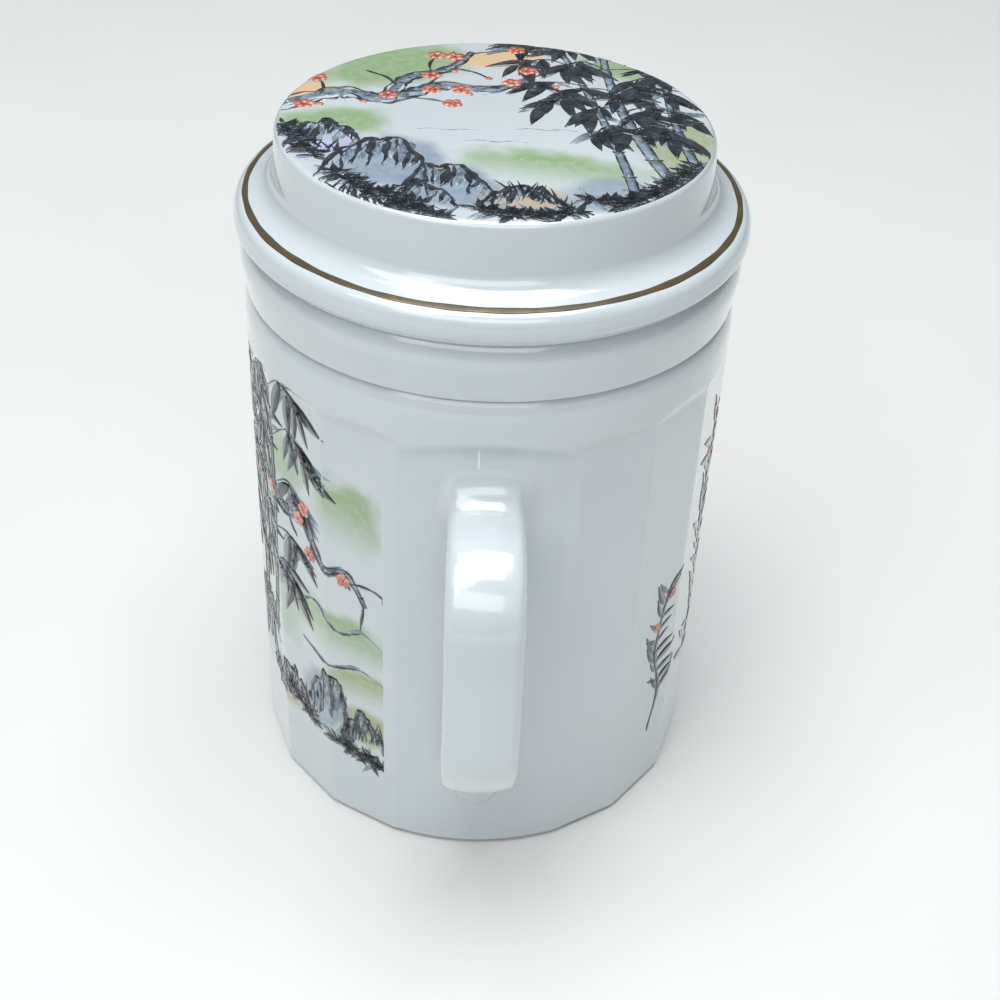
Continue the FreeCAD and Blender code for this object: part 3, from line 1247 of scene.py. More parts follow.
@dataclass
class Lid:
    """Stepped lid: raised crown, cove, sloping ledge with a gilded line and a locating ring."""

    glaze: bpy.types.Material
    gold: bpy.types.Material
    seat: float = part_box("infuser_collar")[1].z
    radius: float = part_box("lid_shell")[1].y
    packed_top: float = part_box("lid_shell")[1].z
    ring_radius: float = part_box("lid_locating_ring")[1].y
    ring_base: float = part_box("lid_locating_ring")[0].z
    gold_outer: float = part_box("lid_gold_line")[1].y
    film_room: float = 0.09 * MM
    foot_inset: float = 1.2 * MM
    foot_round: float = 0.25 * MM
    edge_low: float = 1.6 * MM
    edge_high: float = 4.8 * MM
    edge_start: float = 2.4 * MM
    edge_reach: float = 1.45 * MM
    wall: float = 3.4 * MM
    ledge_width: float = 6.6 * MM
    ledge_rise: float = 2.1 * MM
    ledge_cove: float = 4.8 * MM
    crown_draft: float = 0.6 * MM
    crown_dome: float = 0.2 * MM
    crown_round: float = 1.2 * MM
    ring_wall: float = 2.8 * MM
    ring_round: float = 0.9 * MM
    gold_inset: float = 0.1 * MM
    gold_width: float = 1.05 * MM
    gold_height: float = 0.05 * MM
    gold_section: tuple[Point, ...] = ((-1, -1), (-1, 0.6), (-0.4, 1), (0.4, 1), (1, 0.6), (1, -1))
    gold_sway: tuple[Triple, ...] = ((0.05, 3, 1.0), (0.03, 11, 0.0))
    gold_swell: tuple[Triple, ...] = ((0.05, 7, 2.0), (0.04, 29, 0.0))
    segments: int = 256
    ring_segments: int = 192
    gold_segments: int = 360

    @property
    def bore(self) -> float:
        """Inside radius of the locating ring."""
        return self.ring_radius - self.ring_wall

    def ledge(self, radius: float) -> float:
        """Height of the ledge at a radius."""
        slope = self.ledge_rise / self.ledge_width
        return self.seat + self.edge_high + slope * (self.radius - radius)

    def shell(self) -> bpy.types.Object:
        """Hollow porcelain shell of the lid.

        Returns:
            The finished piece.
        """
        crown = self.radius - self.ledge_width
        middle = self.packed_top - self.film_room
        top = middle - self.crown_dome
        inner = crown - self.wall
        outline = eased([
            (0.0, middle - self.wall, 0.0),
            (inner, top - self.wall, self.wall),
            (inner, self.seat + self.edge_high, self.wall),
            (self.bore, self.seat, 0.0),
            (self.radius - self.foot_inset, self.seat, self.foot_round),
            (self.radius, self.seat + self.edge_low, self.edge_low),
            *swept((self.radius, self.seat + self.edge_start), (self.radius, self.ledge(self.radius)),
                   (self.radius - self.edge_reach, self.ledge(self.radius - self.edge_reach))),
            (crown, self.ledge(crown), self.ledge_cove),
            (crown - self.crown_draft, top, self.crown_round),
            (0.0, middle, 0.0),
        ], step=1.2 * MM)
        shell = turned("lid_shell_glazed", outline, self.glaze, self.segments)
        return place(shell, Body.LID, Slot.LID, "lid_shell")

    def locating_ring(self) -> None:
        """Ring under the lid that centres it in the collar."""
        outline = eased([
            (self.bore, self.seat, 0.0),
            (self.bore, self.ring_base, self.ring_round),
            (self.ring_radius, self.ring_base, self.ring_round),
            (self.ring_radius, self.seat, 0.0),
        ], closed=True, step=1.5 * MM)
        ring = turned("lid_locating_ring_glazed", outline, self.glaze, self.ring_segments)
        place(ring, Body.LID, Slot.LID, "lid_locating_ring")

    def gold_line(self) -> None:
        """Gilded line, a little uneven in width as a brushed line is."""
        middle = self.gold_outer - self.gold_inset - self.gold_width / 2
        points = []
        for index in range(self.gold_segments):
            angle = math.tau * index / self.gold_segments
            sway, swell = (sum(size * math.sin(waves * angle + start) for size, waves, start in bends)
                           for bends in (self.gold_sway, self.gold_swell))
            for side, lift in self.gold_section:
                radius = middle + sway * MM + side * (0.5 + swell) * self.gold_width
                points.append((*polar(angle, radius), self.ledge(radius) + lift * self.gold_height))
        faces = skin(rows(self.gold_segments, len(self.gold_section)), closed=True)
        line = mesh_object("lid_gold_line_fired", points, faces, self.gold)
        place(line, Body.LID, Slot.GOLD, "lid_gold_line")

    def build(self) -> bpy.types.Object:
        """Make the pieces of the lid.

        Returns:
            The shell, which carries the picture.
        """
        shell = self.shell()
        self.locating_ring()
        self.gold_line()
        return shell


def flow(points: Line, step: float = 0.8) -> list[Point]:
    """Smooth line through points.

    Args:
        points: Points that the line passes.
        step: Rough distance between two points of the result.

    Returns:
        Points along the line.
    """
    ends = [points[0], *points, points[-1]]
    line: list[Point] = []
    for first, start, end, last in zip(ends, ends[1:], ends[2:], ends[3:]):
        pieces = max(2, round(math.dist(start, end) / step))
        for piece in range(pieces):
            t = piece / pieces
            spot = []
            for a, b, c, d in zip(first, start, end, last):
                spot.append(0.5 * (2 * b + (c - a) * t + (2 * a - 5 * b + 4 * c - d) * t * t
                                   + (3 * b - a - 3 * c + d) * t ** 3))
            line.append((spot[0], spot[1]))
    line.append(tuple(points[-1]))
    return line


class Sheet:
    """Flat drawing in millimetres, made of brush strokes, dots and leaves in one ink."""

    def __init__(self, seed: int, ink: bpy.types.Material) -> None:
        """Start an empty drawing with its own fixed random draws."""
        self.points: list[Point] = []
        self.faces: list[list[int]] = []
        self.chance = random.Random(seed)
        self.ink = ink

    def stroke(self, points: Line, width: float, end: float, shake: float, swell: float) -> None:
        """Brush stroke that swells and thins.

        Args:
            points: Points that the stroke passes.
            width: Widest part.
            end: Share of the width at both ends.
            shake: Sideways shake as a share of the width.
            swell: Uneven change of the width.
        """
        line = flow(points, max(0.35, min(1.0, width * 1.5)))
        last = len(line) - 1
        start = len(self.points)
        phase, pace = self.chance.uniform(0, 6.3), self.chance.uniform(0.5, 1.1)
        for index, here in enumerate(line):
            before, after = line[max(0, index - 1)], line[min(last, index + 1)]
            along = Vector((after[0] - before[0], after[1] - before[1]))
            side = Vector((-along.y, along.x)).normalized() if along.length > TINY else Vector((0.0, 1.0))
            share = end + (1 - end) * max(0.0, math.sin(math.pi * index / last)) ** 0.55
            half = 0.5 * width * share * (1 + swell * math.sin(phase + pace * index)
                                          + self.chance.uniform(-0.5, 0.5) * swell)
            middle = Vector(here) + side * (self.chance.uniform(-1, 1) * shake * width)
            self.points.extend(tuple(middle + side * (half * way)) for way in (-1, 1))
        self.faces.extend([a, a + 2, a + 3, a + 1] for a in range(start, start + 2 * last, 2))

    def dot(self, spot: Point, size: float, corners: int = 7) -> None:
        """Uneven round dot."""
        start = len(self.points)
        for index in range(corners):
            reach = size * self.chance.uniform(0.75, 1.15)
            self.points.append(polar(math.tau * index / corners, reach, spot))
        self.faces.append(list(range(start, start + corners)))

    def add(self, flat: bpy.types.Mesh) -> None:
        """Take in a flat mesh whose unit is a millimetre."""
        start = len(self.points)
        self.points.extend((vertex.co.x, vertex.co.y) for vertex in flat.vertices)
        self.faces.extend([start + index for index in face.vertices] for face in flat.polygons)


def blossom(petals: Sheet, hearts: Sheet, spot: Point, size: float) -> None:
    """Small five-petalled blossom with a dark heart.

    Args:
        petals: Drawing in the blossom's colour.
        hearts: Drawing in dark ink.
        spot: Middle of the blossom.
        size: Radius of a petal.
    """
    turn = petals.chance.uniform(0, 1.2)
    for petal in range(5):
        petals.dot(polar(turn + petal * math.tau / 5, size * 1.15, spot), size, 8)
    hearts.dot(spot, size * 0.35, 6)


@dataclass(frozen=True)
class Foliage:
    """One group of leaves that a Geometry Nodes tree strews along twigs, in millimetres and degrees."""

    length: float
    width: float
    spacing: float
    direction: float
    spread: float
    bend: float
    seed: int
    growth: Point = (0.55, 1.2)
    roundness: float = 0.75
    least_width: float = 0.04

    def tree(self) -> GeometryTree:
        """Tree that sets a pointed leaf on each step along the twigs.

        Returns:
            The finished tree.
        """
        made = GeometryTree("leaf_spray", {
            "Leaf length": self.length, "Leaf width": self.width, "Spacing": self.spacing,
            "Direction": math.radians(self.direction), "Spread": math.radians(self.spread),
            "Bend": self.bend,
        })
        graph = made.graph
        grid = {"Size X": 1.0, "Size Y": 1.0, "Vertices X": 8, "Vertices Y": 3}
        blade = graph.node("GeometryNodeMeshGrid", inputs=grid)
        x, y, _ = graph.split(graph.node("GeometryNodeInputPosition"))
        share = x + 0.5
        length = made.value("Leaf length")
        belly = graph.math("SINE", (share ** self.roundness).least(1.0) * math.pi).most(self.least_width)
        side = y * belly * made.value("Leaf width") + share * share * made.value("Bend") * length
        inputs = {"Geometry": blade, "Position": graph.join(share * length, side, 0.0)}
        leaf = graph.node("GeometryNodeSetPosition", inputs=inputs)
        twigs = graph.node("GeometryNodeMeshToCurve", inputs={"Mesh": made.entry.outputs["Geometry"]})
        steps = graph.node("GeometryNodeResampleCurve", {"mode": "LENGTH"},
                           {"Curve": twigs, "Length": made.value("Spacing")})
        angle = graph.chance(-1.0, 1.0, self.seed) * made.value("Spread") + made.value("Direction")
        inputs = {"Points": steps, "Instance": leaf, "Rotation": graph.join(0.0, 0.0, angle),
                  "Scale": graph.chance(*self.growth, self.seed + 1)}
        made.end(graph.node("GeometryNodeInstanceOnPoints", inputs=inputs))
        return made

    def strew(self, sheet: Sheet, twigs: Sequence[Line]) -> None:
        """Add the leaves to a drawing.

        Args:
            sheet: Drawing that takes them.
            twigs: Lines that carry the leaves.
        """
        points: list[Triple] = []
        edges: list[tuple[int, int]] = []
        for twig in twigs:
            line = flow(twig, 1.0)
            edges.extend((len(points) + i, len(points) + i + 1) for i in range(len(line) - 1))
            points.extend((a, b, 0.0) for a, b in line)
        mesh = bpy.data.meshes.new("twigs")
        mesh.from_pydata(points, edges, [])
        carrier = bpy.data.objects.new("twigs", mesh)
        bpy.context.scene.collection.objects.link(carrier)
        self.tree().apply(carrier, sheet.ink)
        sheet.add(carrier.data)
        bpy.data.objects.remove(carrier)


class Picture:
    """Drawings laid on a finished surface as thin closed films of colour."""

    film: float = 0.055 * MM
    layer_step: float = 0.5
    root: float = 0.08 * MM

    def __init__(self, piece: bpy.types.Object, name: str, body: Body, slot: Slot) -> None:
        """Keep the surface that carries the picture.

        Args:
            piece: Finished piece under the picture.
            name: Start of the names of the films.
            body: Body that the films ride on.
            slot: Material slot of the surface.
        """
        self.surface = BVHTree.FromObject(piece, bpy.context.evaluated_depsgraph_get())
        self.name = name
        self.body = body
        self.slot = slot

    def bounded(self, across: float, up: float) -> Point:
        """Nearest point inside the printed place."""
        raise NotImplementedError

    def ray(self, across: float, up: float) -> tuple[Vector, Vector]:
        """Start and direction of the ray that meets the surface at a point of the picture."""
        raise NotImplementedError

    def lay(self, part: str, sheet: Sheet, layer: int) -> None:
        """Lay one drawing on the surface.

        Args:
            part: End of the name of the piece.
            sheet: Flat drawing.
            layer: Films of a higher layer lie over lower ones.
        """
        flat = [self.bounded(*point) for point in sheet.points]
        moved = [math.dist(a, b) > TINY for a, b in zip(flat, sheet.points)]
        faces = [face for face in sheet.faces if not all(moved[index] for index in face)]
        used = sorted({index for face in faces for index in face})
        place_of = {index: number for number, index in enumerate(used)}
        top, low = [], []
        for index in used:
            start, way = self.ray(*flat[index])
            spot, normal, _, _ = self.surface.ray_cast(start, way)
            if normal.dot(way) > 0:
                normal = -normal
            top.append(spot + normal * (self.film * (1 + self.layer_step * layer)))
            low.append(spot - normal * self.root)
        count = len(used)
        edges: dict[tuple[int, int], None] = {}
        solid = []
        for face in faces:
            loop = [place_of[index] for index in face]
            a, b, c = (top[index] for index in loop[:3])
            _, way = self.ray(*flat[face[0]])
            if (b - a).cross(c - a).dot(way) > 0:
                loop.reverse()
            solid.extend((loop, [index + count for index in reversed(loop)]))
            edges.update(dict.fromkeys(zip(loop, loop[1:] + loop[:1])))
        solid.extend([second, first, first + count, second + count]
                     for first, second in edges if (second, first) not in edges)
        place(mesh_object(f"{self.name}_{part}", top + low, solid, sheet.ink), self.body, self.slot)


class CrownPicture(Picture):
    """Round picture on the crown of the lid, seen from the handle."""

    reach: float = 35.05
    above: float = 200.0 * MM

    def bounded(self, across: float, up: float) -> Point:
        """Nearest point inside the circle."""
        scale = min(1.0, self.reach / max(TINY, math.hypot(across, up)))
        return across * scale, up * scale

    def ray(self, across: float, up: float) -> tuple[Vector, Vector]:
        """Ray straight down on the crown."""
        return Vector((-up * MM, across * MM, self.above)), Vector((0.0, 0.0, -1.0))


class WallPicture(Picture):
    """Picture on the unrolled wall of the mug."""

    radius: float = 41.8
    edge: float = -17.5
    outside: float = 80.0 * MM

    def bounded(self, across: float, up: float) -> Point:
        """Nearest point left of the picture's sharp edge. The other side of the mug has no edge."""
        return (min(across, self.edge) if across < 0 else across), up

    def ray(self, across: float, up: float) -> tuple[Vector, Vector]:
        """Ray level through the wall towards the axis."""
        out = Vector((*polar(across / self.radius, 1.0), 0.0))
        return out * self.outside + Vector((0.0, 0.0, up * MM)), -out


@dataclass(frozen=True)
class Rock:
    """Outlined rock with texture strokes, in millimetres."""

    across: float
    up: float
    width: float
    height: float
    lean: float = 0.0
    steps: int = 13

    def draw(self, dark: Sheet, pale: Sheet) -> None:
        """Draw the outline and the folds.

        Args:
            dark: Drawing in dark ink.
            pale: Drawing in pale ink.
        """
        chance = dark.chance
        crest: list[Point] = []
        for index in range(self.steps + 1):
            share = index / self.steps
            rise = max(0.0, math.sin(math.pi * share)) ** 0.6 * self.height * chance.uniform(0.82, 1.1)
            crest.append((self.across + (share - 0.5) * self.width + self.lean * rise, self.up + rise))
        dark.stroke(crest, 0.95, end=0.3, shake=0.2, swell=0.45)
        for index in range(1, self.steps):
            x, y = crest[index]
            drop = (y - self.up) * chance.uniform(0.35, 0.85)
            side = chance.uniform(-0.9, 0.3)
            fold = [(x, y - 0.3), (x + side * 0.6, y - drop * 0.5), (x + side * 1.6, y - drop)]
            sheet = dark if index % 3 else pale
            sheet.stroke(fold, chance.uniform(0.35, 1.1), end=0.1, shake=0.3, swell=0.6)
            near = [(x + 0.7, y - 0.9), (x + 0.8 + side, y - drop * 0.8)]
            pale.stroke(near, chance.uniform(0.5, 1.5), end=0.2, shake=0.3, swell=0.5)


@dataclass(frozen=True)
class Bamboo:
    """Bamboo stem with joints and hanging twigs, in millimetres."""

    foot: Point
    top: Point
    width: float
    joints: int
    twigs_from: float
    side: int
    twig: float
    joint_gap: float = 0.04
    thinning: float = 0.45

    def knots(self, bow: float) -> list[Point]:
        """Joints of the stem.

        Args:
            bow: How far the stem bends aside, as a share of its height.

        Returns:
            The joints from the foot to the top.
        """
        knots = []
        for index in range(self.joints + 1):
            share = index / self.joints
            x = self.foot[0] + (self.top[0] - self.foot[0]) * share
            y = self.foot[1] + (self.top[1] - self.foot[1]) * share
            knots.append((x + bow * (y - self.foot[1]) * (1 - share) * 4, y))
        return knots

    def draw(self, dark: Sheet, pale: Sheet) -> list[list[Point]]:
        """Draw the stem.

        Args:
            dark: Drawing in dark ink.
            pale: Drawing in pale ink.

        Returns:
            Twigs that carry leaves.
        """
        chance = dark.chance
        twigs = []
        knots = self.knots(chance.uniform(-0.05, 0.05))
        for index, (low, high) in enumerate(zip(knots, knots[1:])):
            size = self.width * (1 - self.thinning * index / self.joints)
            start = tuple(a + (b - a) * self.joint_gap for a, b in zip(low, high))
            pale.stroke([start, high], size, end=0.75, shake=0.04, swell=0.08)
            for way, width in ((-0.5, 0.2), (0.5, 0.32)):
                edge = [(start[0] + way * size, start[1]), (high[0] + way * size, high[1])]
                dark.stroke(edge, width, end=0.3, shake=0.2, swell=0.4)
            knot = [(high[0] - size * 0.75, high[1] + 0.25), (high[0], high[1] - 0.12),
                    (high[0] + size * 0.75, high[1] + 0.3)]
            dark.stroke(knot, 0.45, end=0.35, shake=0.1, swell=0.3)
            if (index + 1) / self.joints < self.twigs_from:
                continue
            for way in ((self.side,) if self.side else (-1, 1)):
                reach = self.twig * chance.uniform(0.7, 1.25) * way
                lift = chance.uniform(0.5, 4.0)
                twig = [high, (high[0] + reach * 0.5, high[1] + lift),
                        (high[0] + reach, high[1] + lift * 0.4 - 1.5)]
                dark.stroke(twig, 0.32, end=0.3, shake=0.1, swell=0.3)
                twigs.append(twig[1:])
        return twigs


@dataclass(frozen=True)
class Branch:
    """Knotty branch that forks, in millimetres and degrees."""

    line: tuple[Point, ...]
    width: float
    forks: int
    reach: float
    rise: float = 60.0
    taper: float = 0.8

    def limb(self, dark: Sheet, pale: Sheet, middle: Line) -> None:
        """Draw the branch itself with its bark.

        Args:
            dark: Drawing in dark ink.
            pale: Drawing in pale ink.
            middle: Smooth middle line.
        """
        last = len(middle) - 1
        edges: dict[int, list[Point]] = {-1: [], 1: []}
        for index, here in enumerate(middle):
            before, after = middle[max(0, index - 1)], middle[min(last, index + 1)]
            side = Vector((before[1] - after[1], after[0] - before[0])).normalized()
            half = 0.5 * self.width * (1.1 - self.taper * index / last) * dark.chance.uniform(0.75, 1.25)
            for way, edge in edges.items():
                edge.append((here[0] + side.x * half * way, here[1] + side.y * half * way))
        pale.stroke(self.line, self.width * 0.8, end=0.5, shake=0.05, swell=0.2)
        for edge in edges.values():
            dark.stroke(edge, 0.5, end=0.3, shake=0.2, swell=0.5)
        for x, y in middle[2:last:2]:
            dark.stroke([(x - 0.5, y - 0.25), (x + 0.7, y + 0.3)], 0.34, end=0.2, shake=0.2, swell=0.5)

    def draw(self, dark: Sheet, pale: Sheet) -> list[Point]:
        """Draw the branch and its forks.

        Args:
            dark: Drawing in dark ink.
            pale: Drawing in pale ink.

        Returns:
            Elbows and tips of the forks.
        """
        chance = dark.chance
        middle = flow(self.line, 1.2)
        last = len(middle) - 1
        self.limb(dark, pale, middle)
        tips: list[Point] = []
        for fork in range(self.forks):
            index = round((fork + 0.7) / self.forks * last)
            x, y = middle[min(last, index)]
            before = middle[max(0, index - 2)]
            heading = math.atan2(y - before[1], x - before[0])
            heading += math.radians(self.rise) * (1 if fork % 2 else -1) * chance.uniform(0.5, 1.1)
            half = 0.5 * self.reach * chance.uniform(0.5, 1.1)
            bend = heading + chance.uniform(-0.5, 0.5)
            elbow = polar(heading, half, (x, y))
            tip = polar(bend, half, elbow)
            dark.stroke([(x, y), elbow, tip], 0.5, end=0.2, shake=0.15, swell=0.35)
            tips.extend([elbow, tip])
        return tips


@dataclass(frozen=True)
class Scenery:
    """Rocks, bamboo, shrubs, branches and grass of one picture, in the order in which they are drawn."""

    rocks: tuple[Rock, ...]
    stems: tuple[Bamboo, ...]
    leaves: tuple[Foliage, Foliage]
    shrubs: tuple[Line, ...]
    shrub_leaves: tuple[Foliage, Foliage]
    branches: tuple[Branch, ...]
    petal: float
    grass: tuple[Line, ...]
    blades: Foliage

    def draw(self, dark: Sheet, pale: Sheet, coral: Sheet) -> list[Point]:
        """Draw everything.

        Args:
            dark: Drawing in dark ink.
            pale: Drawing in pale ink.
            coral: Drawing in the blossom's colour.

        Returns:
            Elbows and tips of the branches.
        """
        for rock in self.rocks:
            rock.draw(dark, pale)
        twigs = [twig for stem in self.stems for twig in stem.draw(dark, pale)]
        for carriers, leaves in ((twigs, self.leaves), (self.shrubs, self.shrub_leaves)):
            for foliage, sheet in zip(leaves, (dark, pale)):
                foliage.strew(sheet, carriers)
        tips = [tip for branch in self.branches for tip in branch.draw(dark, pale)]
        for spot in tips[::3]:
            blossom(coral, dark, spot, self.petal)
        self.blades.strew(dark, self.grass)
        return tips


CROWN_SCENERY = Scenery(
    rocks=(Rock(-19, -22, 17, 15, 0.1), Rock(-7, -28, 14, 12, -0.1), Rock(-27, -12, 12, 11),
           Rock(4, -31, 13, 8), Rock(-12, -31, 12, 8)),
    stems=(Bamboo((27, -22), (19, 33), 2.0, 6, 0.3, 0, 9.0),
           Bamboo((31, -16), (29, 20), 1.5, 5, 0.3, -1, 8.0),
           Bamboo((21, -28), (11, 34), 1.5, 7, 0.55, -1, 8.0)),
    leaves=(Foliage(8.5, 2.3, 0.75, -100.0, 65.0, 0.1, 5), Foliage(6.0, 1.5, 1.3, -70.0, 80.0, 0.1, 7)),
    shrubs=(((-34, -3), (-31, -9), (-28, -15)), ((-25, -20), (-19, -26), (-11, -30)),
            ((-3, -31), (5, -33), (12, -31)), ((13, -27), (20, -27), (27, -21)),
            ((17, -30), (24, -24), (31, -14)), ((-16, -31), (-8, -34))),
    shrub_leaves=(Foliage(2.9, 1.0, 0.16, 80.0, 150.0, 0.1, 41),
                  Foliage(3.8, 0.8, 0.5, 80.0, 150.0, 0.1, 43)),
    branches=(Branch(((-36, 4), (-26, 10), (-18, 8), (-9, 14), (-1, 13), (6, 18)), 4.4, 10, 9.0),
              Branch(((-18, 8), (-15, 17), (-8, 22), (-4, 30)), 2.6, 7, 8.0)),
    petal=0.85,
    grass=(((-26, -27), (-14, -32)), ((2, -26), (12, -31)), ((-30, -10), (-24, -14))),
    blades=Foliage(5.0, 0.45, 0.5, 85.0, 35.0, 0.2, 9),
)
WALL_SCENERY = Scenery(
    rocks=(Rock(-22, 18, 10, 9), Rock(-31, 19, 12, 14, 0.1), Rock(-42, 17, 13, 10),
           Rock(-56, 19, 15, 17, -0.1), Rock(-68, 17, 12, 11), Rock(-96, 18, 16, 14),
           Rock(-108, 17, 12, 9)),
    stems=(Bamboo((-49, 30), (-45, 87), 1.9, 6, 0.3, 0, 9.0),
           Bamboo((-55, 34), (-57, 84), 1.5, 6, 0.3, 0, 8.0),
           Bamboo((-62, 26), (-69, 86), 2.0, 7, 0.35, 0, 9.0),
           Bamboo((-88, 30), (-84, 80), 1.7, 6, 0.35, 0, 9.0),
           Bamboo((-99, 30), (-102, 74), 1.4, 5, 0.4, 0, 8.0)),
    leaves=(Foliage(8.5, 2.1, 0.7, -85.0, 60.0, 0.1, 15), Foliage(6.5, 1.5, 1.3, -60.0, 70.0, 0.1, 17)),
    shrubs=(((-66, 83), (-60, 78), (-53, 80), (-48, 74)), ((-64, 72), (-57, 68), (-51, 64)),
            ((-62, 32), (-55, 36), (-49, 31)), ((-50, 20), (-42, 22), (-35, 18)),
            ((-29, 18), (-24, 17), (-17, 15)), ((-104, 62), (-97, 68), (-91, 66)),
            ((-92, 18), (-84, 20), (-77, 17))),
    shrub_leaves=(Foliage(3.1, 1.0, 0.2, 80.0, 150.0, 0.1, 45),
                  Foliage(4.0, 0.9, 0.5, 80.0, 150.0, 0.1, 47)),
    branches=(Branch(((-47, 71), (-41, 64), (-36, 66), (-30, 58), (-25, 59), (-21, 53)), 2.3, 9, 7.0),),
    petal=0.75,
    grass=(((-18, 21), (-27, 19)), ((-37, 20), (-47, 18)), ((-63, 18), (-74, 18)),
           ((-100, 18), (-114, 18))),
    blades=Foliage(5.5, 0.45, 0.55, 88.0, 32.0, 0.2, 19),
)


@dataclass
class Artwork:
    """Ink drawings of bamboo, rocks, blossom and hills on the crown and on the wall."""

    dark: bpy.types.Material
    pale: bpy.types.Material
    coral: bpy.types.Material
    waves: Line = ((-13.0, -4.0), (-5.0, -8.0), (3.0, -3.0))
    ridges: tuple[Line, ...] = (((-17, 44), (-22, 47), (-27, 45), (-33, 49), (-40, 44)),
                                ((-70, 52), (-76, 58), (-81, 55), (-90, 60), (-99, 51)),
                                ((-17, 36), (-23, 38), (-30, 36), (-37, 38)))
    sprig: Line = ((38.5, 14.0), (40.5, 24.0), (38.0, 35.0), (40.0, 48.0))
    tall: Line = ((56.0, 22.0), (58.5, 38.0), (55.0, 56.0), (57.5, 78.0))
    buds: Line = ((41.5, 47.0), (37.5, 41.0), (58.5, 76.0), (54.5, 70.0))

    def sheets(self, seed: int) -> tuple[Sheet, ...]:
        """Empty sheets for dark ink, pale ink and blossom, each with a seed of its own."""
        return tuple(Sheet(seed + step, ink) for step, ink in enumerate((self.dark, self.pale, self.coral)))

    @staticmethod
    def lay(picture: Picture, dark: Sheet, pale: Sheet, coral: Sheet) -> None:
        """Lay pale ink, dark ink and blossom over each other."""
        for layer, (part, sheet) in enumerate((("pale_ink", pale), ("dark_ink", dark), ("blossom", coral))):
            picture.lay(part, sheet, layer)

    def crown(self, lid: bpy.types.Object) -> None:
        """Picture on the crown of the lid.

        Args:
            lid: Shell that carries it.
        """
        dark, pale, coral = self.sheets(11)
        tips = CROWN_SCENERY.draw(dark, pale, coral)
        for spot in tips[1::4]:
            coral.dot(spot, 0.7)
        for across, up in self.waves:
            wave = [(across + 2.5 * i, up + (0.5 if i % 2 else 0.0)) for i in range(5)]
            pale.stroke(wave, 0.22, end=0.1, shake=0.1, swell=0.4)
        self.lay(CrownPicture(lid, "lid_picture", Body.LID, Slot.LID), dark, pale, coral)

    def wall(self, mug: bpy.types.Object) -> None:
        """Picture on the side of the mug, and two sprigs on its other side.

        Args:
            mug: Body that carries them.
        """
        dark, pale, coral = self.sheets(21)
        WALL_SCENERY.draw(dark, pale, coral)
        for ridge in self.ridges:
            pale.stroke(ridge, 0.55, end=0.1, shake=0.2, swell=0.6)
            dark.stroke([(x, y - 0.25) for x, y in ridge[1:]], 0.3, end=0.1, shake=0.4, swell=0.8)
        for stem, width in ((self.sprig, 1.0), (self.tall, 1.2)):
            dark.stroke(stem, width, end=0.2, shake=0.1, swell=0.3)
        for seed, way in ((31, 40.0), (33, 140.0)):
            Foliage(6.4, 1.5, 2.7, way, 26.0, -0.12, seed).strew(dark, [self.sprig[1:]])
            Foliage(7.6, 1.7, 3.0, way, 28.0, -0.12, seed + 4).strew(dark, [self.tall])
        for spot in self.buds:
            blossom(coral, dark, spot, 0.5)
        self.lay(WallPicture(mug, "mug_picture", Body.MUG, Slot.MUG), dark, pale, coral)


GREEN = rgba(0.25, 0.40, 0.16)
OLIVE = rgba(0.30, 0.35, 0.12)
SLATE = rgba(0.20, 0.28, 0.39)
PEACH = rgba(0.80, 0.50, 0.22)
TAN = rgba(0.45, 0.32, 0.19)
LILAC = rgba(0.47, 0.50, 0.72)

CROWN_WASHES = (
    Wash(-18, 23, 17, 10, GREEN, 0.95, 25, 0.45),
    Wash(22, 25, 11, 7, GREEN, 0.9, -30, 0.45),
    Wash(9, -18, 17, 8, GREEN, 1.0, -12, 0.45, True),
    Wash(29, -6, 8, 12, OLIVE, 0.8, 0, 0.45),
    Wash(-26, -2, 10, 7, GREEN, 0.95, 10, 0.45),
    Wash(1, 27, 9, 5, PEACH, 0.9, 10, 0.4),
    Wash(-31, 10, 6, 4, PEACH, 0.9, 10, 0.4),
    Wash(-17, -16, 11, 10, SLATE, 0.85, 5, 0.35),
    Wash(-7, -24, 9, 8, SLATE, 0.85, -5, 0.35),
    Wash(-27, -9, 7, 7, LILAC, 0.8, 0, 0.35),
    Wash(4, -28, 8, 5, TAN, 0.8, 0, 0.4),
    Wash(17, -25, 8, 6, SLATE, 0.7, 20, 0.4),
)
WALL_WASHES = (
    Wash(-25, 70, 9, 9, GREEN, 1.0, -15, 0.4, True),
    Wash(-41, 75, 9, 6, GREEN, 0.7, 10, 0.45),
    Wash(-27, 43, 14, 7, GREEN, 1.0, -5, 0.4, True),
    Wash(-22, 33, 10, 5, OLIVE, 0.95, 5, 0.4, True),
    Wash(-46, 44, 11, 12, GREEN, 0.6, 20, 0.5),
    Wash(-84, 53, 15, 8, GREEN, 1.0, 5, 0.4, True),
    Wash(-105, 45, 12, 9, GREEN, 0.8, 0, 0.5, True),
    Wash(-22, 24, 8, 5, OLIVE, 0.9, 0, 0.4),
    Wash(-74, 24, 14, 5, OLIVE, 0.8, 0, 0.4),
    Wash(-32, 25, 7, 8, SLATE, 0.85, 0, 0.35),
    Wash(-56, 27, 9, 10, SLATE, 0.9, 0, 0.35),
    Wash(-43, 21, 8, 5, TAN, 0.85, 0, 0.35),
    Wash(-65, 22, 8, 6, LILAC, 0.8, 0, 0.35),
    Wash(-96, 24, 10, 8, SLATE, 0.8, 0, 0.35),
    Wash(-110, 22, 8, 5, TAN, 0.7, 0, 0.4),
    Wash(-55, 70, 9, 15, SLATE, 0.5, 0, 0.5),
)


@dataclass(frozen=True)
class Lamp:
    """Soft light seen from the mug: direction in degrees, distance and size in metres, power in watts."""

    name: str
    azimuth: float
    elevation: float
    power: float
    width: float
    tall: float
    colour: tuple[float, float, float]
    distance: float = 1.5


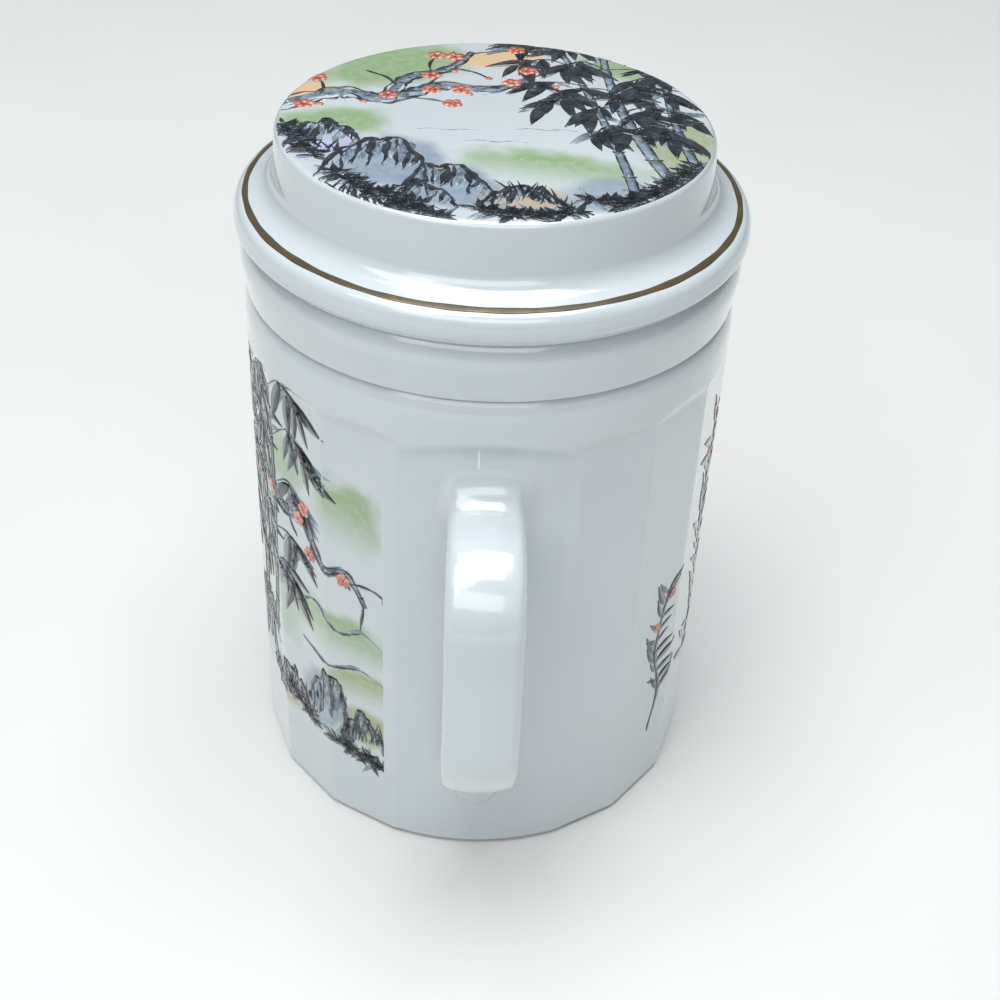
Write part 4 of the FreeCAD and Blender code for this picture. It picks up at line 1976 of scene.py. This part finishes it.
@dataclass
class Studio:
    """Pale floor, soft lights and the camera at the photograph's angle."""

    distance: float = 235.97 * MM
    height: float = 227.12 * MM
    azimuth: float = math.radians(-1.2)
    yaw: float = -0.0149163
    pitch: float = 0.6441458
    roll: float = 0.0481372
    focal_pixels: float = 1550.0
    picture_pixels: float = 1000.0
    sensor: float = 36.0
    nearest: float = 10.0 * MM
    floor_half: float = 3.0
    surroundings: Colour = rgba(0.86, 0.90, 0.93)
    surroundings_strength: float = 0.15
    aim: Vector = field(default_factory=lambda: Vector((0.0, 0.0, 0.06)))
    lamps: tuple[Lamp, ...] = (
        Lamp("ceiling", 0.0, 90.0, 22.0, 1.1, 1.1, (0.95, 0.985, 1.0)),
        Lamp("front_window", 350.0, 40.0, 7.0, 1.6, 0.6, (0.99, 1.0, 1.0)),
        Lamp("left_window", 305.0, 60.0, 6.0, 0.8, 0.8, (1.0, 1.0, 0.99)),
    )

    def camera(self) -> None:
        """Camera fitted to the photograph's seams and edges."""
        turn = Matrix.Rotation(self.azimuth, 3, "Z")
        ahead = -heading(self.yaw, self.pitch)
        right = Vector((-math.sin(self.yaw), math.cos(self.yaw), 0.0))
        up = right.cross(ahead)
        rolled_right = right * math.cos(self.roll) + up * math.sin(self.roll)
        rolled_up = up * math.cos(self.roll) - right * math.sin(self.roll)
        axes = Matrix((rolled_right, rolled_up, -ahead)).transposed()
        data = bpy.data.cameras.new("camera")
        data.sensor_width = self.sensor
        data.lens = self.focal_pixels / self.picture_pixels * self.sensor
        data.clip_start = self.nearest
        camera = bpy.data.objects.new("camera", data)
        spot = turn @ Vector((self.distance, 0.0, self.height))
        camera.matrix_world = Matrix.Translation(spot) @ (turn @ axes).to_4x4()
        bpy.context.scene.collection.objects.link(camera)
        bpy.context.scene.camera = camera

    def floor(self) -> None:
        """Large pale floor."""
        half = self.floor_half
        corners = [(-half, -half, 0.0), (half, -half, 0.0), (half, half, 0.0), (-half, half, 0.0)]
        floor = mesh_object("floor", corners, [(0, 1, 2, 3)], FloorPaint("pale_floor").make())

    def light(self, lamp: Lamp) -> None:
        """Hang one soft light that faces the mug.

        Args:
            lamp: Direction, size, power and colour of the light.
        """
        data = bpy.data.lights.new(lamp.name, "AREA")
        data.shape = "RECTANGLE"
        data.size = lamp.width
        data.size_y = lamp.tall
        data.energy = lamp.power
        data.color = lamp.colour
        made = bpy.data.objects.new(lamp.name, data)
        away = heading(math.radians(lamp.azimuth), math.radians(lamp.elevation))
        turn = away.to_track_quat("Z", "Y").to_matrix().to_4x4()
        made.matrix_world = Matrix.Translation(self.aim + away * lamp.distance) @ turn
        bpy.context.scene.collection.objects.link(made)

    def world(self) -> None:
        """Even pale surroundings."""
        world = bpy.data.worlds.new("surroundings")
        world.use_nodes = True
        background = world.node_tree.nodes["Background"]
        background.inputs["Color"].default_value = self.surroundings
        background.inputs["Strength"].default_value = self.surroundings_strength
        bpy.context.scene.world = world

    def build(self) -> None:
        """Make the whole studio."""
        self.camera()
        self.floor()
        for lamp in self.lamps:
            self.light(lamp)
        self.world()
        view = bpy.context.scene.view_settings
        view.view_transform = "Standard"
        view.look = "None"


def main() -> None:
    """Build the mug, the infuser, the lid and the studio in order."""
    logging.basicConfig(level=logging.INFO, format="%(name)s: %(message)s")
    mug_glaze = WallPorcelain("mug_glaze", washes=WALL_WASHES).make()
    infuser_glaze = Porcelain("infuser_glaze").make()
    lid_glaze = CrownPorcelain("lid_glaze", washes=CROWN_WASHES).make()
    dark = Ink("dark_ink", rgba(0.014, 0.020, 0.028), rgba(0.06, 0.08, 0.10)).make()
    pale = Ink("pale_ink", rgba(0.16, 0.22, 0.29), rgba(0.38, 0.46, 0.52)).make()
    coral = Ink("blossom_coral", rgba(0.66, 0.15, 0.09), rgba(0.80, 0.42, 0.30)).make()
    gold = Gilding("brown_gold").make()
    body = MugBody(mug_glaze)
    mug = body.build()
    MugHandle(body, infuser_glaze).build()
    Infuser(body, infuser_glaze).build()
    lid = Lid(lid_glaze, gold).build()
    artwork = Artwork(dark, pale, coral)
    artwork.crown(lid)
    artwork.wall(mug)
    Studio().build()


if __name__ == "__main__":
    main()
